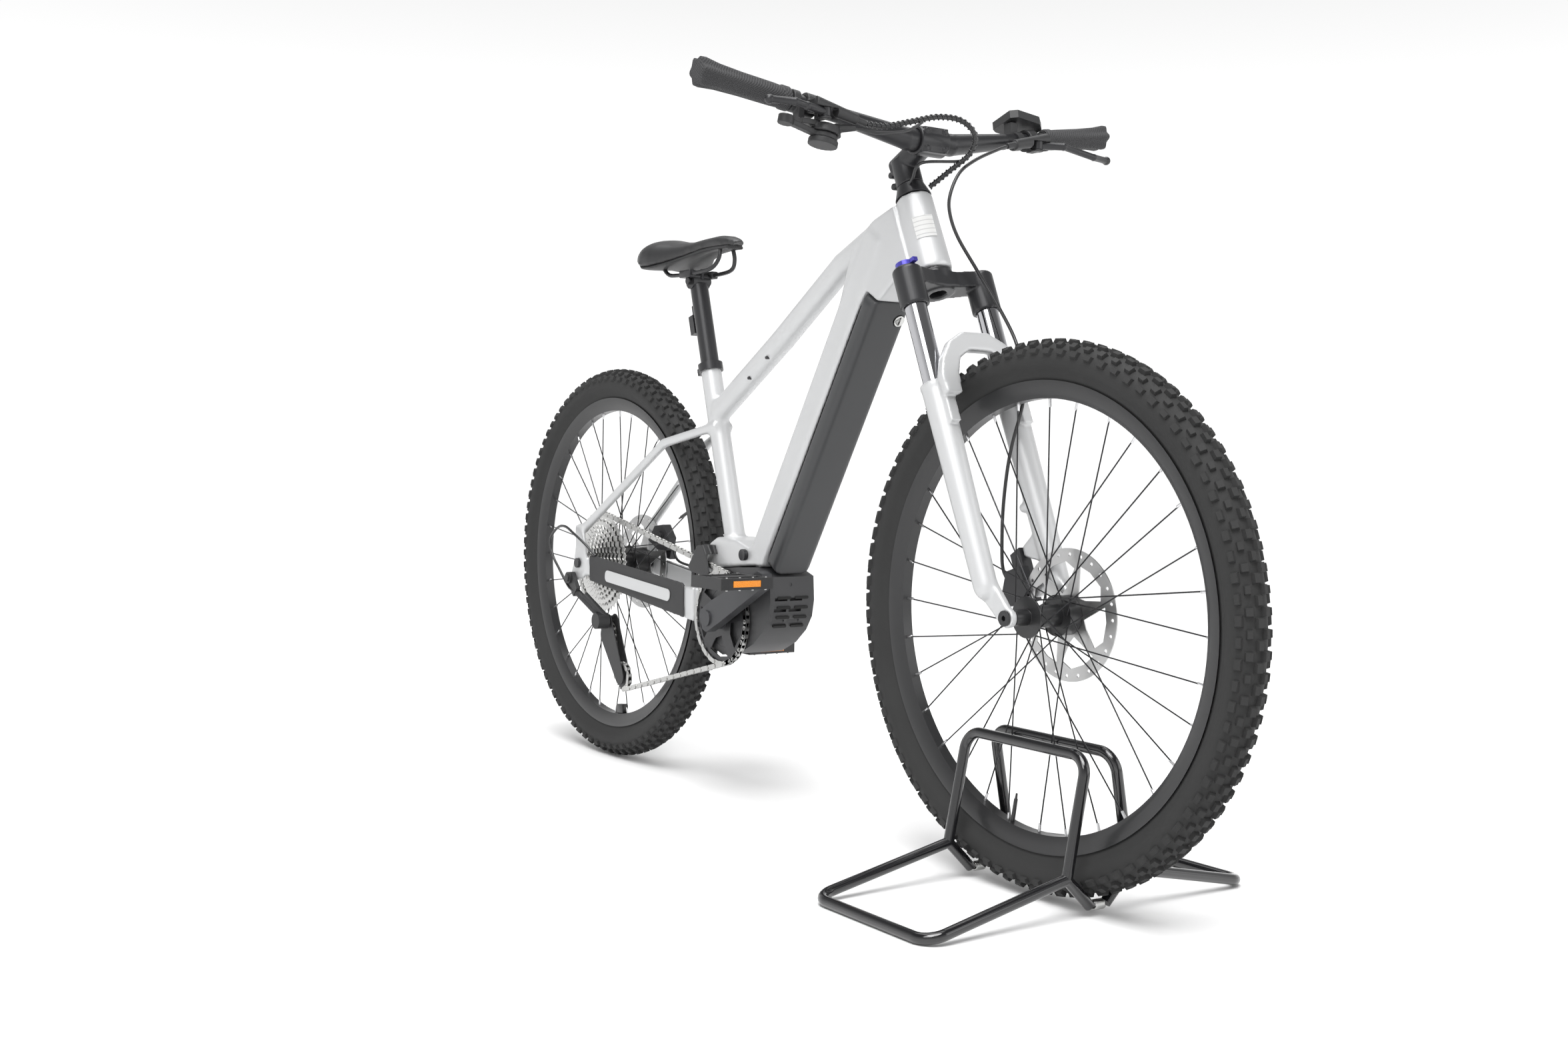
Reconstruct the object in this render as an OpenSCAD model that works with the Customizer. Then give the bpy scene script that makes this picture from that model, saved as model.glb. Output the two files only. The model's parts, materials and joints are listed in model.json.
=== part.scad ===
// Bicycle on stand: battery-assisted mountain bicycle, front wheel held in a folding floor stand.
// +X is forward, +Y is the rider's left, +Z is up. The floor is Z = 0 and X = 0 is mid-wheelbase.

/* [Wheels] */
// Distance between the axles
wheelbase = 1178; // [1140:2:1220]
// Outer radius of the tyres
tyre_r = 369; // [350:1:375]
// Half width of the tyres
tyre_half_w = 28.5; // [24:0.5:32]
// Outer radius of the rims
rim_r = 312; // [300:1:317]
// Height of the front tyre above the floor on the stand
wheel_lift = 5; // [3:1:12]
// Spokes in each wheel
spoke_count = 32; // [24:4:36]
// Radius of the brake discs
disc_r = 90; // [70:5:101]

/* [Frame] */
// Height of the crank axle
crank_z = 307; // [290:1:330]
// Crank axle behind mid-wheelbase
crank_back = 132; // [120:1:150]
// Seat tube angle from the ground
seat_angle = 73.3; // [72:0.1:77]
// Head tube angle from the ground
head_angle = 67.1; // [64:0.1:70]
// Outer radius of the seat tube
seat_tube_r = 18; // [16:0.5:20]
// Width of the down tube
down_tube_w = 74; // [66:1:84]

/* [Fork] */
// Wheel axle ahead of the steering axis
fork_rake = 43.3; // [40:0.1:51]
// Legs ahead of the steering axis
crown_offset = 20; // [0:1:24]
// Half distance between the fork legs
leg_y = 66; // [62:1:70]
// Radius of the chrome inner legs
inner_leg_r = 16; // [14:0.5:17.5]

/* [Cockpit] */
// Half width of the handlebar
bar_half_w = 371; // [340:1:400]
// Radius of the handlebar at its clamp
bar_clamp_r = 15.9; // [12.7:0.1:17.5]
// Height of the handlebar clamp
bar_z = 1036; // [1000:1:1080]

/* [Drive] */
// Crank arm length
crank_len = 170; // [160:2.5:175]
// Crank arm angle above level, pointing forward
crank_rise = 25.7; // [20:0.1:30]
// Teeth on the chainring
ring_teeth = 38; // [34:2:42]
// Teeth on the largest sprocket
big_teeth = 46; // [42:1:50]

/* [Seat] */
// Radius of the seatpost
post_r = 15.8; // [13.6:0.1:17.5]
// Half width of the saddle
saddle_half_w = 73; // [65:1:80]

/* [Stand] */
// Radius of the stand's tube
stand_r = 7.5; // [6:0.5:9]
// Length of the stand along the wheel
stand_len = 231; // [200:1:260]
// Distance of each foot bar from the wheel's plane
foot_y = 279; // [250:1:300]

/* [Hidden] */
$fn = 64;
run_gap = 0.05;
close_gap = 0.02;
joint_grow = 0.5;
gap = 0.3;
front_x = wheelbase / 2;
rear_x = -wheelbase / 2;
front_z = tyre_r + wheel_lift;
rear_z = tyre_r;
head_tilt = 90 - head_angle;
seat_tilt = 90 - seat_angle;
crank_x = -crank_back;
// Steering axis: foot point, level with the front axle.
steer_x = front_x - fork_rake / cos(head_tilt);
axle_drop = -(front_x - steer_x) * sin(head_tilt);
steerer_r = 14.3;
head_low = 512;
head_high = 634;
// Down tube: a point on its side edge line and the tube's slope.
tube_slope = 58.9;
edge_x = 62;
edge_z = 552;
tube_back = 50;
cover_depth = 30;
cover_low = -174;
cover_high = 320;
cover_mid = (cover_low + cover_high) / 2;
cover_len = cover_high - cover_low;
// Chain wheels.
chain_pitch = 12.7;
ring_pr = chain_pitch / 2 / sin(180 / ring_teeth);
big_pr = chain_pitch / 2 / sin(180 / big_teeth);
pulley_teeth = 12;
pulley_pr = chain_pitch / 2 / sin(180 / pulley_teeth);
ring_y = -50;
big_y = -31;
guide_x = -563;
guide_z = 233;
tension_x = -503;
tension_z = 161;
mech_x = -549;
mech_z = 262;
rear_axle_r = 6;
front_axle_r = 7.5;
spindle_r = 12;
pedal_pin_r = 6;
rear_face = 74;
front_face = 55;
pedal_x = crank_x + crank_len * cos(crank_rise);
pedal_z = crank_z + crank_len * sin(crank_rise);
pedal_lx = crank_x - crank_len * cos(crank_rise);
pedal_lz = crank_z - crank_len * sin(crank_rise);
arm_y = 70;
pedal_in = 80;
pedal_out = 176;
bar_x = 326;
bend_x = 318;
bend_y = 150;
bend_z = 1055;
head_r = 14;
head_z = 882;
head_x = crank_x - (head_z - crank_z) * tan(seat_tilt);
bar_end_x = 298;
bar_end_z = 1089;
bar_end_r = 11.1;
stand_x = front_x - 3;
elbow_y = 55;
elbow_z = 53;
hoop_y = 24.5;
hoop_z = 206;
inner_y = 13.7;
spring_z = 14.2;
weld_bead = 0.4;
arch_x = crown_offset + 21.6;
arch_thick = 13.4;

// Cylinder between two points.
module rod(p, q, r1, r2 = -1) {
  v = q - p;
  l = norm(v);
  b = acos(v[2] / l);
  c = atan2(v[1], v[0]);
  translate(p) rotate([0, b, c]) cylinder(h = l, r1 = r1, r2 = r2 < 0 ? r1 : r2);
}

// Round bar through several points, with ball joints at the bends.
module bent_rod(pts, r) {
  for (i = [0 : len(pts) - 2]) rod(pts[i], pts[i + 1], r);
  for (i = [1 : len(pts) - 2]) translate(pts[i]) sphere(r + joint_grow);
}

// Cylinder along Y from y1 to y2.
module pin_y(x, z, y1, y2, r) {
  translate([x, y1, z]) rotate([-90, 0, 0]) cylinder(h = y2 - y1, r = r);
}

// Side profile in X and Z, given thickness between y1 and y2.
module plate_y(y1, y2) {
  translate([0, y2, 0]) rotate([90, 0, 0]) linear_extrude(y2 - y1) children();
}

// Places children on the steering axis: local Z runs up the steerer, local X forward.
module on_steer() {
  translate([steer_x, 0, front_z]) rotate([0, -head_tilt, 0]) children();
}

// Places children on the seat tube axis: local Z runs up from the crank axle.
module on_seat() {
  translate([crank_x, 0, crank_z]) rotate([0, -seat_tilt, 0]) children();
}

// Places children on the down tube's side edge line: local Z runs up the tube,
// local X points out of the battery side.
module on_tube() {
  translate([edge_x, 0, edge_z]) rotate([0, 90 - tube_slope, 0]) children();
}

function unit(v) = v / norm(v);

// Smooth run through the given points, n steps to each span.
function spline_at(a, b, c, d, t) = 0.5 * (2 * b + (c - a) * t + (2 * a - 5 * b + 4 * c - d) * t * t
  + (3 * b - a - 3 * c + d) * t * t * t);
function smooth(p, n) = concat(
  [for (i = [0 : len(p) - 2], k = [0 : n - 1])
    spline_at(p[max(i - 1, 0)], p[i], p[i + 1], p[min(i + 2, len(p) - 1)], k / n)],
  [p[len(p) - 1]]);

// Tube or band swept along a run of points; the section is given as [side, up] pairs.
module sweep(p, sec, side = [0, 1, 0]) {
  n = len(p);
  m = len(sec);
  rings = [for (i = [0 : n - 1])
    let (t = unit(p[min(i + 1, n - 1)] - p[max(i - 1, 0)]),
         u = unit(cross(t, abs(t * side) > 0.9 ? [1, 0, 0.3] : side)),
         w = cross(t, u))
    [for (s = sec) p[i] + u * s[0] + w * s[1]]];
  pts = [for (r = rings) each r];
  faces = concat(
    [[for (k = [0 : m - 1]) m - 1 - k]],
    [for (i = [0 : n - 2], k = [0 : m - 1])
      [i * m + k, i * m + (k + 1) % m, (i + 1) * m + (k + 1) % m]],
    [for (i = [0 : n - 2], k = [0 : m - 1])
      [i * m + k, (i + 1) * m + (k + 1) % m, (i + 1) * m + k]],
    [[for (k = [0 : m - 1]) (n - 1) * m + k]]);
  polyhedron(pts, [for (f = faces) [for (k = [len(f) - 1 : -1 : 0]) f[k]]]);
}
function round_sec(r, m = 8) = [for (k = [0 : m - 1]) [r * cos(360 * k / m), r * sin(360 * k / m)]];
module cord(p, r, n = 4) sweep(smooth(p, n), round_sec(r));

// ---- frame ----

// Silver frame: head, top, down and seat tubes, motor cradle, stays and dropouts.
stay_y = 71;
boss_at = [[-60, 739], [-112, 707]];
module stay_side(s) {
  // Seat stay in two runs, then the chainstay as a deep flat bar, then the dropout.
  bent_rod([[-215, s * 12, 628], [-338, s * 45, 597], [-590, s * stay_y, 432]], 8.5);
  translate([-575, s * stay_y, 0]) rotate([0, 0, s * -3.2]) translate([575, 0, 0])
    plate_y(-6, 6) polygon([[-600, 350], [-588, 372], [-560, 380], [-246, 350], [-215, 352],
      [-215, 292], [-240, 296], [-400, 324], [-560, 346]]);
  plate_y(s > 0 ? rear_face + gap : -82, s > 0 ? 82 : -rear_face - gap)
    polygon([[-606, 440], [-580, 444], [-566, 400], [-560, 352], [-575, 340], [-618, 330],
      [-620, 350], [-610, 372], [-604, 400]]);
  pin_y(-592, 434, s > 0 ? 62 : -82, s > 0 ? 82 : -62, 9);
}
module main_frame() color([0.80, 0.81, 0.82]) difference() {
  union() {
    on_steer() translate([0, 0, head_low]) cylinder(h = head_high - head_low, r1 = 30, r2 = 27);
    // Down tube.
    on_tube() translate([-tube_back, -down_tube_w / 2, -190])
      linear_extrude(590) offset(10) translate([10, 10]) square([tube_back - 21, down_tube_w - 20]);
    // Gusset from the battery's upper end into the head tube.
    plate_y(-34, 34) polygon([[150, 780], [222, 817.8], [249, 803.5], [316, 852], [326, 860],
      [288, 946], [240, 930], [190, 895]]);
    bent_rod([[-226, 0, 652], [-36, 0, 768], [128, 0, 876], [230, 0, 921], [292, 0, 924]], 19.5);
    on_seat() translate([0, 0, 75]) cylinder(h = 365, r = seat_tube_r);
    // Cradle over the motor.
    plate_y(-38, 38) polygon([[-28, 401], [-66, 424], [-110, 437], [-172, 440], [-196, 428], [-206, 400],
      [-213, 352], [-213, 292], [-204, 296], [-204, 334], [-190, 364], [-155, 388], [-100, 394]]);
    for (s = [-1, 1]) {
      stay_side(s);
      // Yoke that joins each chainstay to the cradle.
      plate_y(s > 0 ? 30 : -47, s > 0 ? 47 : -30)
        polygon([[-250, 346], [-204, 352], [-204, 294], [-250, 300]]);
    }
  }
  // Battery bay, open to the front and underside.
  on_tube() translate([-35, -28, -160]) cube([60, 56, 459]);
  on_tube() translate([-gap, -50, cover_low - 20]) cube([60, 100, cover_high - cover_low + 20.5]);
  // Post and steerer bores.
  on_seat() translate([0, 0, 240]) cylinder(h = 260, r = post_r + run_gap);
  on_steer() translate([0, 0, head_low - 50]) cylinder(h = 240, r = steerer_r + run_gap);
  pin_y(rear_x, rear_z, -90, 90, rear_axle_r);
  // Bottle bosses.
  for (b = boss_at) pin_y(b[0], b[1], -30, -10, 2.5);
  // Room for the hub, the small sprockets and the motor cover.
  pin_y(rear_x, rear_z, -rear_face - gap, rear_face + gap, 28);
  plate_y(-50, 50) polygon([[40, 300], [40, 386], [3, 386.5], [-21.8, 393], [-39.8, 398],
    [-100, 394], [-155, 388], [-190, 364], [-203.5, 334], [-203.5, 300]]);
}

// Small steel parts fixed in the frame: rear axle, cradle bolts and bottle boss screws.
module frame_fittings() color([0.1, 0.1, 0.11]) {
  pin_y(rear_x, rear_z, -86, 86, rear_axle_r);
  pin_y(rear_x, rear_z, -87, -82, 9);
  for (s = [-1, 1]) pin_y(-80, 415, s > 0 ? 38 : -41, s > 0 ? 41 : -38, 9);
  for (b = boss_at) pin_y(b[0], b[1], -18, -10, 2.5);
}

// Black seat collar with its clamp bolt.
module seat_collar() color([0.07, 0.07, 0.08]) on_seat() difference() {
  union() {
    translate([0, 0, 434]) cylinder(h = 14, r = 21.5);
    translate([-30, -9, 435]) cube([14, 18, 12]);
    translate([-24, 11, 441]) rotate([90, 0, 0]) cylinder(h = 22, r = 3.5);
  }
  translate([0, 0, 430]) cylinder(h = 10, r = seat_tube_r);
  translate([0, 0, 430]) cylinder(h = 30, r = post_r + run_gap);
}

// Drive motor body around the crank axle.
module motor_unit() color([0.12, 0.12, 0.13]) difference() {
  pin_y(crank_x, crank_z, -44, 44, 50);
  pin_y(crank_x, crank_z, -60, 60, spindle_r + run_gap);
}

// Dark plastic motor cover with its cooling slots.
module motor_cover() color([0.16, 0.16, 0.17]) difference() {
  plate_y(-44, 42) polygon([[2, 384], [5, 345], [0, 318], [-16, 294], [-44, 271], [-84, 252],
    [-136, 244], [-178, 256], [-200, 280], [-203, 334], [-189, 363], [-154, 387], [-100, 393],
    [-40, 397], [-22, 392]]);
  pin_y(crank_x, crank_z, -60, 60, 50);
  for (row = [0 : 3], s = [-23, 6]) translate([-6, s - 12, 345 - row * 18]) cube([20, 24, 5]);
  translate([2, -4, 371]) rotate([0, 90, 0]) cylinder(h = 10, r = 3);
}

// Black upper chain guide.
module chain_guide() color([0.08, 0.08, 0.09]) difference() {
  union() {
    plate_y(-57, -44.3) polygon([[-232, 386], [-204, 424], [-186, 426], [-172, 408], [-162, 380],
      [-180, 372], [-224, 378]]);
    plate_y(-44.4, -38.3) polygon([[-218, 411], [-200, 426], [-172, 426], [-164, 411]]);
  }
  translate([-240, -54.5, 350]) cube([90, 10.4, 60]);
}

// Soft guard on the right chainstay, with its inlay.
module stay_guard() color([0.15, 0.15, 0.16])
  translate([-575, -stay_y, 0]) rotate([0, 0, 3.2]) translate([575, 0, 0]) difference() {
    plate_y(-9, -2) polygon([[-555, 383], [-548, 386.5], [-246, 357], [-238, 350], [-236, 296],
      [-400, 318], [-552, 338]]);
    plate_y(-6.3, 0) polygon([[-600, 350], [-588, 372], [-560, 380.3], [-246, 350.3], [-215, 352],
      [-215, 292], [-240, 295.7], [-400, 323.7], [-560, 345.7]]);
  }

// Rear brake caliper on the left chainstay.
module rear_caliper() color([0.07, 0.07, 0.08]) difference() {
  union() {
    plate_y(49, 66) polygon([[-556, 412], [-532, 440], [-500, 444], [-478, 420], [-486, 396],
      [-520, 396]]);
    plate_y(64.7, 77) polygon([[-540, 382.5], [-500, 378], [-494, 400], [-534, 404]]);
    pin_y(-512, 420, 45, 49, 11);
  }
  pin_y(rear_x, rear_z, 55.4, 58.6, disc_r + 3);
}

// Rear gear mechanism: hanger knuckle, parallelogram links and lower knuckle.
module gear_mech() color([0.09, 0.09, 0.10]) {
  pin_y(-606, 340, -96, -82.3, 11);
  pin_y(-606, 340, -99, -96, 7);
  plate_y(-92, -84) polygon([[-612, 330], [-598, 350], [-576, 322], [-590, 306]]);
  for (k = [0, 1]) rod([-588 + k * 14, -86 + k * 10, 316 - k * 6],
    [-556 + k * 12, -56 + k * 8, 274 - k * 4], 6.5);
  pin_y(mech_x, mech_z, -66, -42.3, 15);
}

// Gear cable loop behind the axle and brake hose along the left stay.
module rear_lines() color([0.05, 0.05, 0.06]) {
  cord([[-533, -76, 386], [-560, -86, 408], [-589, -92, 424], [-625, -92, 436], [-658, -92, 432],
    [-688, -92, 408], [-676, -92, 378], [-650, -92, 355], [-610, -92, 324], [-590, -90, 316]], 2.4);
  cord([[-232, 52, 355], [-300, 57, 360], [-400, 62, 369.5], [-470, 66, 377.5], [-492, 68, 402],
    [-490, 68, 420]], 2.4);
}

// Roller chain: two side bands along the real route, joined by rollers on the straight runs.
function arc(c, r, a1, a2, n) = [for (k = [0 : n])
  let (a = a1 + (a2 - a1) * k / n) [c[0] + r * cos(a), c[2], c[1] + r * sin(a)]];
function away(a, b) = atan2(b[1] - a[1], b[0] - a[0]);
function dist(a, b) = norm([b[0] - a[0], b[1] - a[1]]);
ring_c = [crank_x, crank_z, ring_y];
big_c = [rear_x, rear_z, big_y];
guide_c = [guide_x, guide_z, big_y];
tens_c = [tension_x, tension_z, big_y];
// Tangent angles: cassette to ring along the top, ring to tension pulley along the bottom,
// tension pulley across to guide pulley, guide pulley across to cassette.
a_top = away(big_c, ring_c) + acos((big_pr - ring_pr) / dist(big_c, ring_c));
a_low = away(ring_c, tens_c) + acos((ring_pr - pulley_pr) / dist(ring_c, tens_c));
a_mid = away(tens_c, guide_c) + acos(2 * pulley_pr / dist(tens_c, guide_c));
a_in = away(guide_c, big_c) - acos((pulley_pr + big_pr) / dist(guide_c, big_c));
chain_pts = concat(
  arc(big_c, big_pr, a_in + 180 + (a_in + 180 < a_top ? 360 : 0), a_top, 14),
  arc(ring_c, ring_pr, a_top, a_low - 360, 16),
  arc(tens_c, pulley_pr, a_low, a_mid, 10),
  arc(guide_c, pulley_pr, a_mid + 180 - 360, a_in, 8));
module chain() color([0.62, 0.62, 0.60]) {
  closed = concat(chain_pts, [chain_pts[0]]);
  for (s = [-1, 1]) translate([0, s * 3, 0])
    sweep(closed, [[-3.8, -0.5], [3.8, -0.5], [3.8, 0.5], [-3.8, 0.5]]);
  for (run = [[14, 15], [31, 32]], k = [1 : 8]) {
    p = chain_pts[run[0]] + (chain_pts[run[1]] - chain_pts[run[0]]) * k / 9;
    pin_y(p[0], p[2], p[1] - 3.2, p[1] + 3.2, 3);
  }
}

// Battery: outer cover with the pack behind it, one removable piece.
lock_y = 23;
module battery() color([0.17, 0.17, 0.18]) difference() {
  on_tube() union() {
    intersection() {
      translate([gap, -down_tube_w / 2, cover_low]) linear_extrude(cover_len)
        offset(11) translate([11, 11]) square([cover_depth - 22, down_tube_w - 22]);
      translate([-1, 0, cover_mid]) rotate([90, 0, 90]) linear_extrude(cover_depth + 4)
        offset(18) square([down_tube_w - 36, cover_len - 36], center = true);
    }
    translate([-34, -27.5, cover_low + 15]) cube([48, 55, 457]);
  }
  on_tube() translate([8, lock_y, 290]) rotate([0, 90, 0]) cylinder(h = 40, r = 9 + run_gap);
}

// Battery lock barrel.
module lock_barrel() color([0.3, 0.3, 0.31]) on_tube() difference() {
  translate([8.5, lock_y, 290]) rotate([0, 90, 0]) cylinder(h = 23, r = 9);
  translate([29, lock_y - 1, 284]) cube([5, 2, 12]);
}

// ---- seat ----

// Seatpost with its head, clamp bolt and the small lamp mount behind it.
module seatpost() color([0.08, 0.08, 0.09]) {
  on_seat() {
    translate([0, 0, 320]) cylinder(h = 272, r = post_r);
    // Small lamp on its mount.
    translate([-24, -6, 540]) cube([12, 12, 22]);
    translate([-36, -8, 512]) cube([14, 16, 34]);
  }
  // Round head that the rail clamp turns on, with its bolt.
  pin_y(head_x, head_z, -17, 17, head_r);
  pin_y(head_x, head_z, -23, -17, 6.5);
  pin_y(head_x, head_z, 17, 23, 6.5);
}

// Saddle sections: x, half width, lower z, upper z.
saddle_secs = [[-428, 44, 922, 956], [-420, 62, 912, 960], [-398, 70, 906, 962], [-372, 67, 906, 959],
  [-338, 52, 912, 952], [-302, 34, 920, 950], [-262, 25, 928, 954], [-218, 21, 930, 956],
  [-184, 18, 928, 949], [-170, 11, 931, 943]];
module saddle_pad() color([0.07, 0.07, 0.08]) {
  m = 12;
  n = len(saddle_secs);
  k_w = saddle_half_w / 73;
  pts = [for (s = saddle_secs, k = [0 : m - 1]) let (a = 360 * k / m, c = cos(a), d = sin(a))
    [s[0], s[1] * k_w * c, d >= 0 ? s[2] + 6 + (s[3] - s[2] - 6) * d
      : s[2] + 6 + 6 * d + (1 - abs(c)) * 3]];
  faces = concat([[for (k = [0 : m - 1]) k]],
    [for (i = [0 : n - 2], k = [0 : m - 1]) [i * m + k, (i + 1) * m + k, (i + 1) * m + (k + 1) % m]],
    [for (i = [0 : n - 2], k = [0 : m - 1]) [i * m + k, (i + 1) * m + (k + 1) % m,
      i * m + (k + 1) % m]],
    [[for (k = [0 : m - 1]) (n - 1) * m + m - 1 - k]]);
  polyhedron(pts, [for (f = faces) [for (k = [len(f) - 1 : -1 : 0]) f[k]]]);
}

// Hard base under the padding.
module saddle_base() color([0.1, 0.1, 0.11]) {
  translate([-410, -34, 898]) cube([50, 68, 7.7]);
  translate([-364, -24, 898]) cube([34, 48, 13.7]);
  translate([-334, -17, 904]) cube([34, 34, 15.7]);
  translate([-304, -14, 912]) cube([120, 28, 11]);
  translate([-222, -13, 914]) cube([38, 26, 14]);
}

// Two steel rails, held by the post's clamp.
module saddle_rails() color([0.05, 0.05, 0.06]) {
  difference() {
    union() {
      for (s = [-1, 1]) rod([-200, s * 21, 897], [-390, s * 24, 893.5], 3.5);
      translate([head_x - 22, -29, 888]) cube([44, 58, 14]);
      translate([-210, -26, 892]) cube([16, 52, 19.7]);
      translate([-400, -32, 889]) cube([20, 64, 8.7]);
    }
    pin_y(head_x, head_z, -17.3, 17.3, head_r + run_gap);
    pin_y(head_x, head_z, -40, 40, 7);
  }
}

// ---- steering ----

// Black fork crown with the steerer tube.
module fork_crown() color([0.08, 0.08, 0.09]) on_steer() difference() {
  union() {
    translate([0, 0, 478]) cylinder(h = 214, r = steerer_r);
    translate([0, 0, 478]) cylinder(h = 33.5, r1 = 24, r2 = 28);
    for (s = [-1, 1]) {
      translate([crown_offset, s * leg_y, 445]) cylinder(h = 56, r = 21);
      translate([crown_offset, s * leg_y, 501]) cylinder(h = 4, r1 = 21, r2 = 17);
    }
    // Arms from the steerer out to both legs.
    translate([0, 0, 480]) linear_extrude(24)
      polygon([[-18, 12], [-18, -12], [2, -leg_y], [38, -leg_y], [26, -20], [26, 20], [38, leg_y],
        [2, leg_y]]);
  }
  translate([0, 0, 470]) cylinder(h = 230, r = steerer_r - 2);
  for (s = [-1, 1]) translate([crown_offset, s * leg_y, 440]) cylinder(h = 50, r = inner_leg_r);
}

// Chrome inner legs.
module stanchions() color([0.75, 0.75, 0.77]) on_steer() for (s = [-1, 1])
  translate([crown_offset, s * leg_y, 180]) cylinder(h = 310, r = inner_leg_r);

// Cone that covers the upper bearing and takes in the cables.
module bearing_cover() color([0.09, 0.09, 0.10]) on_steer() difference() {
  translate([0, 0, head_high + gap]) cylinder(h = 20, r1 = 27, r2 = 20);
  translate([0, 0, head_high - 5]) cylinder(h = 30, r = steerer_r + run_gap);
}

// Stem with its faceplate, pinch bolts and top cap.
module stem() color([0.10, 0.10, 0.11]) difference() {
  union() {
    on_steer() translate([0, 0, head_high + 21]) cylinder(h = 42, r = 20);
    on_steer() translate([0, 0, head_high + 63]) cylinder(h = 3, r = 16);
    rod([258, 0, 1004], [bar_x - 14, 0, bar_z - 4], 18, 17);
    pin_y(bar_x, bar_z, -26, 26, 21);
    translate([bar_x + 4, -22, bar_z - 18]) cube([15, 44, 36]);
    for (y = [-16, 16], z = [-13, 13]) translate([bar_x + 10, y, bar_z + z]) rotate([0, 90, 0])
      cylinder(h = 11, r = 3.5);
    on_steer() for (z = [head_high + 31, head_high + 50]) translate([-22, 14, z])
      rotate([90, 0, 0]) cylinder(h = 28, r = 5);
  }
  pin_y(bar_x, bar_z, -60, 60, bar_clamp_r);
  on_steer() translate([0, 0, head_high - 5]) cylinder(h = 68, r = steerer_r);
}

// Handlebar, thick at the clamp and thin at the grips, rising and sweeping back.
module handlebar() color([0.07, 0.07, 0.08]) {
  pin_y(bar_x, bar_z, -40, 40, bar_clamp_r);
  for (s = [-1, 1]) {
    translate([bar_x, s * 40, bar_z]) sphere(bar_clamp_r + joint_grow);
    rod([bar_x, s * 40, bar_z], [bend_x, s * bend_y, bend_z], bar_clamp_r, bar_end_r + 0.5);
    translate([bend_x, s * bend_y, bend_z]) sphere(bar_end_r + 1);
    rod([bend_x, s * bend_y, bend_z], [bar_end_x, s * (bar_half_w - 4), bar_end_z], bar_end_r);
  }
}
function bar_at(s, y) = let (t = (y - bend_y) / (bar_half_w - 4 - bend_y))
  [bend_x + (bar_end_x - bend_x) * t, s * y, bend_z + (bar_end_z - bend_z) * t];

// Rubber grip with its clamp ring.
module grip(s) difference() {
  union() {
    rod(bar_at(s, 247), bar_at(s, bar_half_w), 15.5);
    rod(bar_at(s, bar_half_w - 6), bar_at(s, bar_half_w + 2), 18.5);
    rod(bar_at(s, 236), bar_at(s, 247.1), 17);
  }
  rod(bar_at(s, 200), bar_at(s, bar_half_w - 4), bar_end_r + close_gap);
}
module grip_right() color([0.12, 0.12, 0.13]) grip(-1);
module grip_left() color([0.12, 0.12, 0.13]) grip(1);

// Brake master cylinder, clamp and lever pivot ears.
lever_x = 344;
lever_y = 196;
lever_z = 1051;
module master(s) difference() {
  union() {
    rod(bar_at(s, 196), bar_at(s, 212), 16.5);
    rod([344, s * 214, 1062], [349, s * 146, 1046], 9.5, 7.5);
    rod([349, s * 146.5, 1046], [350, s * 130, 1042], 4.5);
    translate([326, min(s * 196, s * 214), 1050]) cube([18, 18, 18]);
    for (z = [lever_z - 9, lever_z + 6]) translate([lever_x, s * lever_y, z]) cylinder(h = 3, r = 9);
    translate([lever_x - 18, min(s * 190, s * 202), lever_z - 9]) cube([16, 12, 18]);
  }
  rod(bar_at(s, 180), bar_at(s, 230), bar_end_r);
  translate([lever_x, s * lever_y, lever_z - 20]) cylinder(h = 40, r = 3 + run_gap);
  translate([lever_x - 9.3, min(s * 180, s * 222), lever_z - 6]) cube([30, 42, 12]);
}
module master_right() color([0.08, 0.08, 0.09]) master(-1);
module master_left() color([0.08, 0.08, 0.09]) master(1);

// Two-finger brake lever blade on its pivot pin.
module lever(s) {
  translate([lever_x, s * lever_y, lever_z - 9]) cylinder(h = 18, r = 3);
  translate([lever_x, s * lever_y, lever_z - 5.7]) cylinder(h = 11.4, r = 8);
  rod([lever_x, s * lever_y, lever_z], [lever_x + 14, s * 236, lever_z + 1], 5.5);
  tip_y = s < 0 ? 292 : 334;
  tip_z = lever_z + (s < 0 ? 4 : -8);
  bent_rod([[lever_x + 14, s * 236, lever_z + 1], [lever_x + 15, s * (tip_y - 36), tip_z],
    [lever_x + 6, s * tip_y, tip_z]], 5);
  translate([lever_x + 14, s * 236, lever_z + 1]) sphere(6);
  translate([lever_x + 6, s * tip_y, tip_z]) sphere(6.5);
}
module lever_right() color([0.09, 0.09, 0.1]) lever(-1);
module lever_left() color([0.09, 0.09, 0.1]) lever(1);

// Gear shifter body under the right side of the bar.
paddle_low = 8.3;
paddle_high = 15.7;
module on_shifter() translate([330, -190, 1008]) rotate([-12, 0, 0]) children();
module shifter() color([0.09, 0.09, 0.10]) difference() {
  union() {
    rod(bar_at(-1, 222), bar_at(-1, 233), 15.5);
    translate([312, -228, 1036]) cube([14, 10, 26]);
    translate([312, -228, 1034]) cube([24, 30, 7.4]);
    on_shifter() {
      cylinder(h = 8, r = 21);
      cylinder(h = 24, r = 8);
      translate([0, 0, 16]) cylinder(h = 12, r1 = 23, r2 = 20);
    }
    rod([338, -176, 1032], [350, -148, 1034], 7, 4);
  }
  rod(bar_at(-1, 170), bar_at(-1, 260), bar_end_r);
}

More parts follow.
